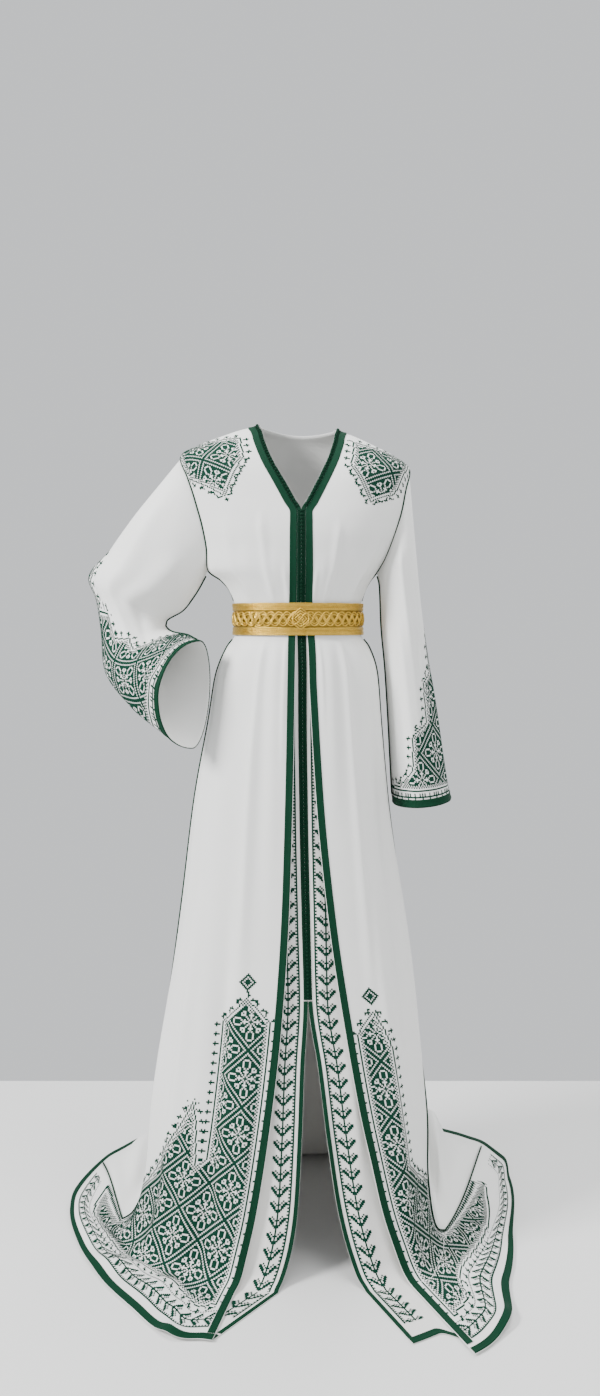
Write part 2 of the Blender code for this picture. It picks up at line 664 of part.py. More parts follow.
def sleeve_grid(loop, sections):
    """Outer points of a sleeve: a ring at the armhole, then smooth through its sections."""
    lengths = np.concatenate(([0], np.cumsum(np.linalg.norm(np.diff(loop, axis=0), axis=1))))
    under = YOKE_COUNT - 1
    turns = []
    for place, length in enumerate(lengths):
        if place <= under:
            turns.append(math.pi * length / lengths[under])
        else:
            whole = lengths[-1] + np.linalg.norm(loop[0] - loop[-1]) - lengths[under]
            turns.append(math.pi + math.pi * (length - lengths[under]) / whole)
    keys = [loop]
    for row in sections:
        value = dict(zip(SLEEVE_COLUMNS, row))
        over = np.array((value["over_x"], value["y"], value["over_z"]))
        below = np.array((value["under_x"], value["y"], value["under_z"]))
        middle = (over + below) / 2
        fore = np.array((value["fore_x"], value["fore_y"], 0.0))
        rear = np.array((value["rear_x"], value["rear_y"], 0.0))
        ring = []
        for turn in turns:
            wall = fore if turn <= math.pi else rear
            ring.append(middle + (over - below) / 2 * math.cos(turn) + wall * abs(math.sin(turn)))
        keys.append(np.array(ring))
    keys = np.array(keys)
    gaps = np.linalg.norm(np.diff(keys, axis=0), axis=2).mean(axis=1)
    stops = np.concatenate(([0], np.cumsum(gaps)))
    cuff = stops[-1] - HEM_BRAID_WIDTH
    places = [cuff * step / (SLEEVE_RINGS - 2) for step in range(SLEEVE_RINGS - 1)]
    places.append(stops[-1])
    rings = []
    for at in places:
        ring = [[follow(stops, keys[:, place, axis], at) for axis in range(3)] for place in range(len(loop))]
        rings.append(ring)
    return np.array(rings)


def grid_normals(points, outward):
    """Outward directions of a grid that runs round a sleeve."""
    across = np.roll(points, -1, axis=1) - np.roll(points, 1, axis=1)
    along = np.empty_like(points)
    along[1:-1] = points[2:] - points[:-2]
    along[0] = points[1] - points[0]
    along[-1] = points[-1] - points[-2]
    normals = np.cross(across, along)
    normals /= np.linalg.norm(normals, axis=2, keepdims=True)
    away = points - points.mean(axis=1, keepdims=True)
    if float((normals * away).sum()) * outward < 0:
        normals = -normals
    return normals


def armhole_loop(side, front, back):
    """Edge points and directions round an armhole: down the front, then up the back."""
    count = YOKE_COUNT
    first = len(BACK_NECK_LEVELS)
    place = 0 if side < 0 else -1
    back_rows = list(range(first + count - 2, first, -1))
    points = np.concatenate((front.points[:count, -1], back.points[back_rows, place]))
    normals = np.concatenate((front.normals[:count, -1], back.normals[back_rows, place]))
    across = np.roll(points, -1, axis=0) - np.roll(points, 1, axis=0)
    away = np.cross(across, normals)
    away /= np.linalg.norm(away, axis=1, keepdims=True)
    centre = points.mean(axis=0)
    if float((away * (centre - points)).sum()) < 0:
        away = -away
    return points, normals, away


def make_sleeve(side, front, back, sections, surface, collection):
    """A sleeve wall, its cuff braid, and the piping round the armhole and along its underseam."""
    name = "right" if side < 0 else "left"
    points, normals, away = armhole_loop(side, front, back)
    clear, least_lean = 1.6 * GAP, 0.4
    start = points + away * clear
    grid = sleeve_grid(start, sections)
    facing = grid_normals(grid, 1)
    lining = grid - facing * CLOTH
    lining[0] = start - normals * CLOTH
    loft(f"sleeve_{name}", grid, lining, surface["cloth"], collection, around=True)
    low = grid[-2:] + facing[-2:] * GAP
    high = grid[-2:] + facing[-2:] * (GAP + BRAID_THICK)
    loft(f"cuff_braid_{name}", high, low, surface["braid"], collection, around=True)
    blend = normals + facing[0]
    blend /= np.linalg.norm(blend, axis=1, keepdims=True)
    lean = np.minimum((blend * normals).sum(axis=1), (blend * facing[0]).sum(axis=1))
    blend /= np.clip(lean, least_lean, 1.0)[:, None]
    piping(f"armhole_piping_{name}", points, blend, surface["braid"], collection, closed=True)
    under = YOKE_COUNT - 1
    piping(f"sleeve_piping_{name}", grid[1:-2, under], facing[1:-2, under], surface["braid"], collection)


def belt_ring(share, out):
    """Points round the waist at one height of the belt."""
    level = BELT_FOOT + (BELT_TOP - BELT_FOOT) * share
    ring = []
    for step in range(BELT_STEPS):
        angle = -180 + 360 * step / BELT_STEPS
        ring.append(body_point(angle, level) + body_normal(angle, level) * (BELT_OFFSET + out))
    return ring


def make_belt(surface, collection):
    """The belt: a closed band with ridged borders and a raised middle."""
    shares = column(BELT_PROFILE, BELT_PROFILE_COLUMNS, "share")
    stands = column(BELT_PROFILE, BELT_PROFILE_COLUMNS, "out")
    rings = [belt_ring(share, out) for share, out in zip(shares, stands)]
    rings += [belt_ring(share, 0.0) for share in BELT_LINING_SHARES]
    bm = bmesh.new()
    grid = [[bm.verts.new(point) for point in ring] for ring in rings]
    for row, ring in enumerate(grid):
        following = grid[(row + 1) % len(grid)]
        for place in range(BELT_STEPS):
            after = (place + 1) % BELT_STEPS
            bm.faces.new((ring[place], ring[after], following[after], following[place]))
    add_object("belt", bm, surface["gold"], collection)
    make_belt_knot(surface, collection)


def make_belt_knot(surface, collection):
    """The raised woven diamond at the middle of the belt."""
    narrowing, shortening, roundness = 0.45, 0.3, 1.6
    under = np.empty((DIAMOND_ROWS + 1, DIAMOND_COLUMNS + 1, 3))
    top = np.empty_like(under)
    for row in range(DIAMOND_ROWS + 1):
        v = -1 + 2 * row / DIAMOND_ROWS
        for place in range(DIAMOND_COLUMNS + 1):
            u = -1 + 2 * place / DIAMOND_COLUMNS
            angle = angle_at(DIAMOND_CENTRE + u * DIAMOND_HALF_WIDTH * (1 - narrowing * v * v), WAIST)
            facing = body_normal(angle, WAIST)
            base = body_point(angle, WAIST) + facing * (BELT_OFFSET + DIAMOND_LIFT)
            base[2] += v * DIAMOND_HALF_HEIGHT * (1 - shortening * u * u)
            bulge = max(0.0, 1 - abs(u) ** roundness - abs(v) ** roundness * 0.8)
            ripple = DIAMOND_RIPPLE * math.cos(math.pi * 3 * u) * math.cos(math.pi * 3 * v)
            under[row, place] = base
            top[row, place] = base + facing * (DIAMOND_RIM + (DIAMOND_BULGE + ripple) * bulge)
    loft("belt_knot", top, under, surface["gold"], collection)


def shortened(patch, first, last):
    """A strip with its first and last row drawn in by a length, so that it clears the next piece."""
    made = patch.part(slice(None), slice(None))
    for row, other, length in ((0, 1, first), (-1, -2, last)):
        span = np.linalg.norm(made.points[row, 0] - made.points[other, 0])
        made.points[row] += (made.points[other] - made.points[row]) * (length / span)
    return made


def make_outer_fronts(surface, collection):
    """Both outer fronts with the braids that lie on them."""
    fronts = {}
    for side, name in ((-1, "right"), (1, "left")):
        patch = Patch(front_places(side))
        fronts[side] = patch
        cloth_wall(f"front_{name}", patch, surface["cloth"], collection)
        edge = shortened(patch.part(slice(0, -1), slice(1, 3)), GAP / 2, GAP)
        braid(f"edge_braid_{name}", edge, surface["braid"], collection)
        braid(f"hem_braid_{name}", patch.part(slice(-2, None), slice(0, None)), surface["braid"], collection)
    return fronts


def make_buttons(fronts, inner_fronts, surface, collection):
    """The knotted edge of the neckline and the long closed button column."""
    for side, name in ((-1, "right"), (1, "left")):
        rows = slice(0, YOKE_BOTTOM + 1)
        points = fronts[side].points[rows, :2].copy()
        points[:, 1] += (points[:, 0] - points[:, 1]) * (LOOP_EDGE_INSET / LOOP_EDGE_WIDTH)
        begin, end = LOOP_EDGE_INSET, rail_length(points) - 0.004
        normals = fronts[side].normals[rows, :2]
        knot_row(f"neck_loops_{name}", points, normals, begin, end, surface["braid"], collection)
    belt_row = YOKE_COUNT + LOWER_LEVELS.index(BELT_TOP)
    for name, pair, rows, begin, end in (
        ("buttons_upper", fronts, slice(YOKE_BOTTOM, belt_row + 1), 0.001, 0.0015),
        ("buttons_lower", inner_fronts, slice(1, SLIT_ROW + 1), 0.004, 0.003),
    ):
        right, left = pair[-1], pair[1]
        edges = [front.points[rows, 0] for front in (right, left)]
        sides = [front.points[rows, 0] * (1 - COLUMN_SHARE) + front.points[rows, 1] * COLUMN_SHARE
                 for front in (right, left)]
        points = np.stack((sides[0], (edges[0] + edges[1]) / 2, sides[1]), axis=1)
        normals = np.stack((right.normals[rows, 1], right.normals[rows, 0], left.normals[rows, 1]), axis=1)
        knot_row(name, points, normals, begin, rail_length(points) - end, surface["braid"], collection)


def make_inner_layer(surface, collection):
    """The inner skirt layer that shows between the open outer fronts, with its slit braids."""
    fronts = {}
    for side, name in ((-1, "right"), (1, "left")):
        patch = Patch(inner_front_places(side), inner=True)
        fronts[side] = patch
        cloth_wall(f"inner_front_{name}", patch, surface["satin"], collection)
        slit = shortened(patch.part(slice(SLIT_ROW, -1), slice(0, 2)), SLIT_BRAID_DROP, GAP)
        braid(f"slit_braid_{name}", slit, surface["braid"], collection)
        hem = patch.part(slice(-2, None), slice(0, 4))
        braid(f"inner_hem_braid_{name}", hem, surface["braid"], collection, INNER_HEM_BRAID_THICK)
    back = Patch(inner_back_places(), inner=True)
    cloth_wall("inner_back", back, surface["satin"], collection)
    return fronts


def make_back(surface, collection):
    """The back, in two solids that meet under the belt, with its neck braid and hem braid."""
    patch = Patch(back_places())
    waist = len(BACK_NECK_LEVELS) + YOKE_COUNT + LOWER_LEVELS.index(WAIST)
    cloth_wall("back_bodice", patch.part(slice(0, waist + 1), slice(None)), surface["cloth"], collection)
    skirt = shortened(patch.part(slice(waist, None), slice(None)), GAP, 0.0)
    cloth_wall("back_skirt", skirt, surface["cloth"], collection)
    neck = patch.part(slice(0, 3), slice(0, None))
    braid("neck_braid_back", neck, surface["braid"], collection)
    braid("hem_braid_back", patch.part(slice(-2, None), slice(0, None)), surface["braid"], collection)
    return patch


def make_side_piping(fronts, surface, collection):
    """Piping down the side seams, above the belt and below it."""
    belt_top = YOKE_COUNT + LOWER_LEVELS.index(BELT_TOP)
    belt_foot = YOKE_COUNT + LOWER_LEVELS.index(BELT_FOOT)
    for side, name in ((-1, "right"), (1, "left")):
        front = fronts[side]
        for part, rows in (("bodice", slice(YOKE_COUNT, belt_top)), ("side", slice(belt_foot + 1, -2))):
            line, facing = front.points[rows, -1], front.normals[rows, -1]
            piping(f"{part}_piping_{name}", line, facing, surface["braid"], collection)


def main():
    """Build every piece of the kaftan."""
    collection = start_collection("moroccan_kaftan")
    mount = bpy.data.objects.new("shoulder_mount", None)
    mount.location = (0, 0, -SHOULDER_HEIGHT)
    collection.objects.link(mount)
    surface = {
        "cloth": material("ivory_crepe", IVORY, CLOTH_FINISH),
        "satin": material("ivory_satin", SATIN, CLOTH_FINISH),
        "braid": material("green_braid", GREEN, BRAID_FINISH),
        "gold": material("gold_cordwork", GOLD, GOLD_FINISH),
    }
    fronts = make_outer_fronts(surface, collection)
    back = make_back(surface, collection)
    inner_fronts = make_inner_layer(surface, collection)
    make_buttons(fronts, inner_fronts, surface, collection)
    make_sleeve(-1, fronts[-1], back, BENT_SLEEVE, surface, collection)
    make_sleeve(1, fronts[1], back, HANGING_SLEEVE, surface, collection)
    make_side_piping(fronts, surface, collection)
    make_belt(surface, collection)


main()
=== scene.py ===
"""The looks of a worn Moroccan kaftan: draped cloth, counted embroidery, braids, knots and a gold belt.

Every piece is modelled on the same rings and edges as the garment's cut, in metres, with +Z up.
Heights in the tables are above the floor that the hem trails on; SHOULDER_HEIGHT lowers them, so
that the origin is where the shoulders hold the garment. The wearer faces -Y, their right is at -X.
"""

import math

import bmesh
import bpy
import numpy as np
from mathutils import Matrix, Vector


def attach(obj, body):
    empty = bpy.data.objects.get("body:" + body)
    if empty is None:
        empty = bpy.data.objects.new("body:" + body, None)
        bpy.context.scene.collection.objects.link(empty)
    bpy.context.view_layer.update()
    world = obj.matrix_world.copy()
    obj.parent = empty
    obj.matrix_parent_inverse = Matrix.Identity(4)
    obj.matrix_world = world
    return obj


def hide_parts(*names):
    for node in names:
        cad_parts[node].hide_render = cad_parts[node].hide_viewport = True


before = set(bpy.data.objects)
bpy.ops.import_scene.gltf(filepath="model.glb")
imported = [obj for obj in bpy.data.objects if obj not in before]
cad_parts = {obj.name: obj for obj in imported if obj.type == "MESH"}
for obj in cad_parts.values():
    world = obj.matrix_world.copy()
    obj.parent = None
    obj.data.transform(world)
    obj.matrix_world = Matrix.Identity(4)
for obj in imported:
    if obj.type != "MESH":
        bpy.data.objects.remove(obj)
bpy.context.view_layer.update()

bl_info = {
    "name": "Moroccan Kaftan",
    "version": (1, 0, 0),
    "blender": (4, 5, 0),
    "location": "3D View > Sidebar > Kaftan",
    "description": "Dresses the kaftan's cut with cloth, embroidery, braids, buttons and belt",
    "category": "Object",
}

# Heights and sizes of the cut
SHOULDER_HEIGHT = 1.58
GAP = 0.0003
BRAID_WIDTH = 0.014
LOOP_EDGE_WIDTH = 0.0084
BUTTON_PITCH = 0.007
HEM_BRAID_WIDTH = 0.015
LAYER_INSET = 0.006
LOWER_LAYER_INSET = 0.014
BELT_OFFSET = 0.0026
SHOULDER_TILT = -0.053
BELOW_BELT_BRAID_INSET = 0.0008

# Rings of the body from the neck to where the skirt touches the floor. The level of a row is its
# place in the list. side, front and back are heights; right, left, fore and aft are half-sizes
RING_COLUMNS = (
    "side", "front", "back", "right", "left", "fore", "aft", "centre", "square_right", "square_left",
)
RINGS = (
    (1.588, 1.532, 1.582, 0.074, 0.074, 0.052, 0.056, 0.006, 2.0, 2.0),
    (1.578, 1.513, 1.564, 0.110, 0.108, 0.074, 0.074, 0.006, 2.0, 2.0),
    (1.561, 1.491, 1.540, 0.154, 0.148, 0.091, 0.087, 0.007, 2.1, 2.1),
    (1.540, 1.466, 1.510, 0.202, 0.190, 0.103, 0.095, 0.009, 2.2, 2.2),
    (1.515, 1.440, 1.478, 0.238, 0.218, 0.111, 0.099, 0.011, 2.3, 2.3),
    (1.474, 1.415, 1.446, 0.230, 0.212, 0.118, 0.1015, 0.013, 2.3, 2.3),
    (1.430, 1.392, 1.414, 0.218, 0.205, 0.1235, 0.1025, 0.014, 2.3, 2.3),
    (1.385, 1.365, 1.380, 0.204, 0.192, 0.126, 0.102, 0.014, 2.3, 2.3),
    (1.340, 1.335, 1.342, 0.193, 0.174, 0.1245, 0.0995, 0.014, 2.2, 2.2),
    (1.302, 1.302, 1.302, 0.186, 0.150, 0.121, 0.096, 0.014, 2.2, 2.2),
    (1.282, 1.282, 1.282, 0.158, 0.136, 0.117, 0.092, 0.013, 2.2, 2.2),
    (1.262, 1.262, 1.262, 0.141, 0.126, 0.111, 0.088, 0.013, 2.2, 2.2),
    (1.237, 1.237, 1.237, 0.132, 0.120, 0.105, 0.085, 0.0125, 2.2, 2.2),
    (1.206, 1.206, 1.206, 0.130, 0.119, 0.103, 0.084, 0.0125, 2.2, 2.2),
    (1.174, 1.174, 1.174, 0.132, 0.120, 0.104, 0.086, 0.013, 2.2, 2.2),
    (1.150, 1.150, 1.150, 0.148, 0.134, 0.109, 0.092, 0.014, 2.2, 2.2),
    (1.100, 1.100, 1.100, 0.170, 0.149, 0.116, 0.103, 0.015, 2.2, 2.2),
    (1.000, 1.000, 1.000, 0.187, 0.157, 0.124, 0.115, 0.015, 2.1, 2.2),
    (0.850, 0.850, 0.850, 0.215, 0.169, 0.134, 0.130, 0.016, 2.1, 2.3),
    (0.650, 0.650, 0.650, 0.240, 0.194, 0.148, 0.150, 0.0165, 2.0, 2.4),
    (0.450, 0.450, 0.450, 0.266, 0.217, 0.163, 0.172, 0.0165, 2.0, 2.6),
    (0.250, 0.250, 0.250, 0.295, 0.235, 0.180, 0.200, 0.0165, 2.0, 2.8),
    (0.120, 0.120, 0.120, 0.306, 0.243, 0.193, 0.220, 0.0165, 2.0, 3.0),
    (0.050, 0.050, 0.050, 0.322, 0.252, 0.208, 0.242, 0.0165, 2.0, 3.0),
    (0.016, 0.016, 0.016, 0.342, 0.262, 0.224, 0.262, 0.0165, 2.0, 3.0),
    (0.0052, 0.0052, 0.0052, 0.360, 0.274, 0.242, 0.285, 0.0165, 2.0, 3.0),
)
TIP = 4
UNDERARM = 9
BELT_TOP = 12
WAIST = 13
BELT_FOOT = 14
TOUCH = len(RINGS) - 1
HEM = TOUCH + 4

# Height of each layer's outer face where it lies on the floor
FLOOR_LIFT_OUTER = 0.0052
FLOOR_LIFT_INNER = 0.0017

# Where the cloth ends on the floor: cloth is the angle on the touching ring, floor is the angle
# from the front on the floor, and reach is the distance from the centre
HEM_COLUMNS = ("cloth", "floor", "reach")
OUTER_HEM_RIGHT = (
    (0, 0, 0.36), (30, 25.4, 0.389), (36, 32.9, 0.413), (48, 48, 0.403), (60, 63.3, 0.414),
    (70, 79.8, 0.440), (79, 95.2, 0.477), (84, 104, 0.494), (90, 117.3, 0.501),
    (110, 135, 0.505), (130, 150, 0.47), (155, 165, 0.44), (180, 180, 0.43),
)
OUTER_HEM_LEFT = (
    (0, 0, 0.36), (46, 39.2, 0.479), (51, 47.1, 0.473), (60, 63.6, 0.421), (68, 81.4, 0.413),
    (79, 109.6, 0.474), (83, 118.8, 0.514), (90, 126.9, 0.518), (110, 140, 0.50),
    (135, 155, 0.465), (180, 180, 0.43),
)
INNER_HEM_RIGHT = (
    (9.8, 22.7, 0.381), (20, 27, 0.379), (30, 33, 0.388), (48, 48, 0.383), (60, 63.3, 0.395),
    (70, 79.8, 0.420), (79, 95.2, 0.457), (90, 117.3, 0.48), (110, 135, 0.47),
    (130, 150, 0.44), (155, 165, 0.42), (180, 180, 0.41),
)
INNER_HEM_LEFT = (
    (26.4, 26.6, 0.402), (34, 34.5, 0.405), (42, 39.0, 0.445), (49, 47.1, 0.445),
    (59, 63.6, 0.400), (68, 81.4, 0.391), (79, 109.6, 0.454), (90, 126.9, 0.498),
    (110, 140, 0.48), (135, 155, 0.445), (180, 180, 0.41),
)

# Sideways place of each front edge at a level: right and left are distances along X
EDGE_COLUMNS = ("level", "right", "left")
NECK_EDGE = (
    (0, -0.068, 0.080), (0.5, -0.0625, 0.0785), (1, -0.0565, 0.0745), (2, -0.040, 0.061),
    (3, -0.0195, 0.0443), (4, -0.0023, 0.0285), (5.1, 0.0135, 0.0135),
)
FRONT_EDGE = (
    (5.1, 0.0135, 0.0135), (9, 0.0135, 0.0135), (12, 0.0125, 0.0125), (13, 0.0080, 0.0180),
    (14, 0.0034, 0.0243), (16, 0.0020, 0.0275), (17, 0.0005, 0.0325), (18, -0.0025, 0.0420),
    (19, -0.0088, 0.0628), (20, -0.0225, 0.0930), (21, -0.0465, 0.1310), (22, -0.0680, 0.1615),
    (23, -0.0850, 0.1850), (24, -0.0960, 0.1998), (25, -0.1058, 0.2107),
)
SLIT_TOP = 19.77
INNER_EDGE = (
    (13, 0.0138, 0.0138), (17, 0.0160, 0.0160), (18, 0.0178, 0.0178), (19, 0.0220, 0.0220),
    (19.77, 0.0258, 0.0258), (20, 0.0225, 0.0340), (21, 0.0150, 0.0600), (22, 0.0073, 0.0805),
    (23, -0.0053, 0.0999), (24, -0.0187, 0.1154), (25, -0.0280, 0.1280),
)

# Angle of the armhole's front and back edge at a level
ARMHOLE_COLUMNS = ("level", "front", "back")
ARMHOLE = (
    (4, 90, 90), (4.5, 84, 96), (5, 80, 101), (6, 77, 106), (7, 76, 107), (8, 78, 105),
    (8.5, 82, 100), (9, 90, 90),
)

# Angle of the side seams at a level, on the wearer's right and left
SEAM_COLUMNS = ("level", "right", "left")
SIDE_SEAM = (
    (9, 90, 90), (19, 90, 88), (21, 90, 80), (22, 90, 76), (23, 90, 76), (25, 90, 82), (29, 90, 90),
)

# Rows of a front: its level on the front edge and on the armhole
YOKE_ROWS = (
    (0, 4), (0.4, 4.3), (0.9, 4.65), (1.5, 5.05), (2.1, 5.5), (2.8, 6.0), (3.5, 6.5), (4.3, 7.0), (5.1, 7.5),
    (6.4, 8.1), (7.7, 8.6), (9, 9),
)
BACK_NECK_LEVELS = (0, 0.23, 0.62, 1.3, 2.1, 3.0)
LOWER_LEVELS = (*range(10, 26), 26.3, 27.6)
INNER_LEVELS = (WAIST, 14, 15, 16.5, 18, 19, SLIT_TOP, 20.4, 21, 22, 23, 24, TOUCH, 26.3, 27.6)

# Largest soft folds: angle from the front (plus is the wearer's left), half-width in degrees, depth
# outwards, and the levels where each starts and ends. The creases further down lean as well
CREASE_COLUMNS = ("angle", "width", "depth", "start", "end", "lean")
FOLDS = (
    (-46, 7, 0.0035, 7.6, 12.2), (-24, 6, 0.0030, 7.8, 12.2), (20, 6, 0.0030, 7.8, 12.2),
    (47, 8, 0.0035, 7.6, 12.2), (130, 9, 0.0030, 8, 12.2), (-130, 9, 0.0030, 8, 12.2),
    (-24, 6, 0.0040, 14.3, 19.5), (-60, 9, 0.0050, 14.3, 25), (-50, 5, -0.0110, 18.5, 26),
    (-40, 6, 0.0050, 16, 26), (26, 6, 0.0040, 14.3, 18.5), (55, 9, 0.0045, 14.3, 22),
    (64, 7, -0.0070, 17, 24), (120, 12, 0.0080, 15, 26), (150, 12, -0.0070, 16, 26),
    (-120, 12, 0.0080, 15, 26), (-150, 12, -0.0070, 16, 26), (180, 10, 0.0060, 15, 26),
)

# Waves where the outer layer lies on the floor: place is how far out, 0 at the touch, 1 at the hem
WAVE_COLUMNS = ("angle", "width", "height", "place", "spread")
FLOOR_WAVES = (
    (114, 13, 0.110, 0.40, 0.30), (98, 7, 0.020, 0.60, 0.40), (-108, 12, 0.045, 0.55, 0.35),
    (-76, 6, 0.012, 0.60, 0.40), (-50, 5, 0.008, 0.35, 0.35), (62, 6, 0.008, 0.55, 0.35),
    (150, 14, 0.030, 0.50, 0.35), (-150, 14, 0.030, 0.50, 0.35),
)

# Sleeve sections from the armhole to the cuff. over is the upper or outer line, under the inner
# one, y the depth of both, and fore and rear how far the two walls stand from their middle
SLEEVE_COLUMNS = ("over_x", "over_z", "under_x", "under_z", "y", "fore_x", "fore_y", "rear_x", "rear_y")
BENT_SLEEVE = (
    (-0.3105, 1.425, -0.198, 1.258, 0.004, 0.0, -0.066, 0.0, 0.062),
    (-0.372, 1.343, -0.226, 1.224, 0.012, 0.0, -0.066, 0.0, 0.060),
    (-0.414, 1.286, -0.2590, 1.202, 0.018, -0.002, -0.064, 0.0, 0.058),
    (-0.398, 1.248, -0.2600, 1.194, 0.014, -0.004, -0.066, 0.0, 0.058),
    (-0.384, 1.184, -0.2540, 1.186, 0.000, -0.006, -0.068, 0.004, 0.058),
    (-0.364, 1.107, -0.2380, 1.179, -0.030, -0.018, -0.066, 0.010, 0.054),
    (-0.2906, 1.030, -0.2080, 1.1745, -0.070, -0.045, -0.056, 0.018, 0.044),
    (-0.2100, 0.972, -0.1850, 1.1650, -0.096, -0.062, -0.047, 0.022, 0.036),
    (-0.1928, 0.9597, -0.1795, 1.1635, -0.103, -0.066, -0.045, 0.022, 0.035),
)
HANGING_SLEEVE = (
    (0.241, 1.354, 0.171, 1.272, 0.000, 0.0, -0.076, 0.0, 0.070),
    (0.251, 1.244, 0.174, 1.196, 0.000, 0.0, -0.079, 0.0, 0.073),
    (0.265, 1.134, 0.182, 1.106, 0.000, 0.0, -0.081, 0.0, 0.076),
    (0.283, 1.020, 0.188, 1.008, 0.000, 0.0, -0.083, 0.0, 0.079),
    (0.299, 0.914, 0.193, 0.910, 0.000, 0.0, -0.085, 0.0, 0.081),
    (0.3075, 0.866, 0.196, 0.855, 0.000, 0.0, -0.087, 0.0, 0.083),
    (0.311, 0.851, 0.1975, 0.839, 0.000, 0.0, -0.088, 0.0, 0.084),
)

# Section of the belt from its foot to its top: share of its height, and how far it stands out
BELT_PROFILE_COLUMNS = ("share", "out")
BELT_PROFILE = (
    (0.0, 0.0016), (0.08, 0.0028), (0.16, 0.0018), (0.20, 0.0028), (0.25, 0.0020), (0.30, 0.0036),
    (0.50, 0.0042), (0.70, 0.0036), (0.75, 0.0020), (0.80, 0.0028), (0.84, 0.0018), (0.92, 0.0028),
    (1.0, 0.0016),
)

# The woven diamond on the belt's middle
DIAMOND_CENTRE = 0.0125
DIAMOND_HALF_WIDTH = 0.024
DIAMOND_HALF_HEIGHT = 0.021
DIAMOND_LIFT = 0.0048

# Lighter creases that only show in the cloth's surface: as the folds above, with how many degrees
# each one leans for a level
CREASES = (
    (-33, 3.2, 0.0024, 5.5, 12.4, 0.9), (-15, 2.4, 0.0018, 8.2, 12.6, 0.6),
    (31, 3.0, 0.0022, 5.8, 12.4, -1.0), (14, 2.2, 0.0016, 8.6, 12.6, -0.4),
    (60, 4.5, 0.0030, 6.4, 12.4, -1.4), (-58, 4.5, 0.0030, 6.4, 12.4, 1.4),
    (78, 3.5, 0.0026, 8.4, 12.6, 0.0), (-78, 3.5, 0.0026, 8.4, 12.6, 0.0), (160, 6, 0.0026, 5, 12.4, 0.5),
    (-150, 5, 0.0026, 5, 12.4, 0.0), (110, 5, 0.0026, 7, 12.4, 0.8), (-112, 5, 0.0026, 7, 12.4, -0.8),
    (-36, 3.0, 0.0034, 14.2, 20.0, -0.7), (-15, 2.2, 0.0022, 14.2, 18.0, -0.5),
    (38, 3.0, 0.0032, 14.2, 20.5, 0.8), (17, 2.0, 0.0018, 14.2, 17.5, 0.6),
    (70, 4.0, 0.0040, 14.2, 21.0, 0.8), (-72, 4.0, 0.0040, 14.2, 21.0, -0.6),
    (-66, 3.6, 0.0060, 18.5, 27.0, -0.5), (-33, 3.6, 0.0050, 19.5, 27.0, 0.6),
    (-82, 5.0, 0.0060, 19, 28, 0.0),
    (48, 4.0, 0.0050, 18.5, 27.0, 0.5), (78, 4.0, 0.0050, 18.0, 26.0, 0.6),
    (34, 3.0, 0.0040, 20.5, 27.0, 0.4),
    (104, 5, 0.0060, 15.5, 26, 0.6), (136, 5, 0.0070, 15, 26, 0.4), (166, 6, 0.0060, 15.5, 27, 0.2),
    (-104, 5, 0.0060, 15.5, 26, -0.6), (-136, 5, 0.0070, 15, 26, -0.4), (-166, 6, 0.0060, 15.5, 27, -0.2),
)
# The same for the inner layer
INNER_CREASES = (
    (-14, 3.0, 0.0024, 18.5, 28, -0.6), (-30, 4.5, 0.0030, 18, 28, -0.4), (12, 3.0, 0.0022, 18.5, 28, 1.2),
    (30, 4.0, 0.0030, 19, 28, 0.6), (150, 8, 0.0030, 15, 28, 0.0), (-150, 8, 0.0030, 15, 28, 0.0),
    (180, 7, -0.0030, 15, 28, 0.0),
)
# Small ripples where the cloth lies on the floor
FLOOR_RIPPLES = (
    (-64, 3.0, 0.010, 0.55, 0.35), (-40, 2.5, 0.006, 0.50, 0.30), (-92, 4.0, 0.012, 0.60, 0.35),
    (72, 3.0, 0.008, 0.60, 0.35), (90, 4.0, 0.012, 0.60, 0.35), (130, 6.0, 0.012, 0.55, 0.35),
    (-130, 6.0, 0.012, 0.55, 0.35), (170, 6.0, 0.010, 0.55, 0.35), (-36.5, 2.4, 0.010, 0.93, 0.12),
    (52, 2.4, 0.012, 0.95, 0.12),
)
# Over how many levels a fold comes and goes, and how much deeper the creases are made than their table
FOLD_FADE = 1.5
CREASE_STRENGTH = 1.6

# Places across and down that measure a panel and a sleeve, the share across of a panel's main line,
# places round the armhole, turns that measure a sleeve, and halvings in the search for an angle
PANEL_PLACES = (81, 321)
MAIN_LINE = 0.3
SLEEVE_PLACES = (61, 31)
ARMHOLE_PLACES = 41
GAP_TURNS = 24
CENTRE_TURNS = 12
ANGLE_HALVINGS = 30

# Faces across and down of each sheet and braid
FRONT_FACES = (80, 240)
BACK_FACES = (112, 210)
INNER_FRONT_FACES = (56, 160)
INNER_BACK_FACES = (80, 150)
SLEEVE_FACES = (108, 120)
BRAID_FACES = 12
SLIT_BRAID_FACES = 8
LOOP_BED_FACES = 6
CUFF_FACES = 260
NECK_FACES = 220

# Points nearer than this become one, and sheets and braids start this far from an edge
WELD = 0.00002
TINY_GAP = 0.0002
SMALL_GAP = 0.0003
SLIT_BRAID_DROP = 0.0021


def column(rows, names, name):
    """One named column of a table, as an array."""
    return np.array([row[names.index(name)] for row in rows], dtype=float)


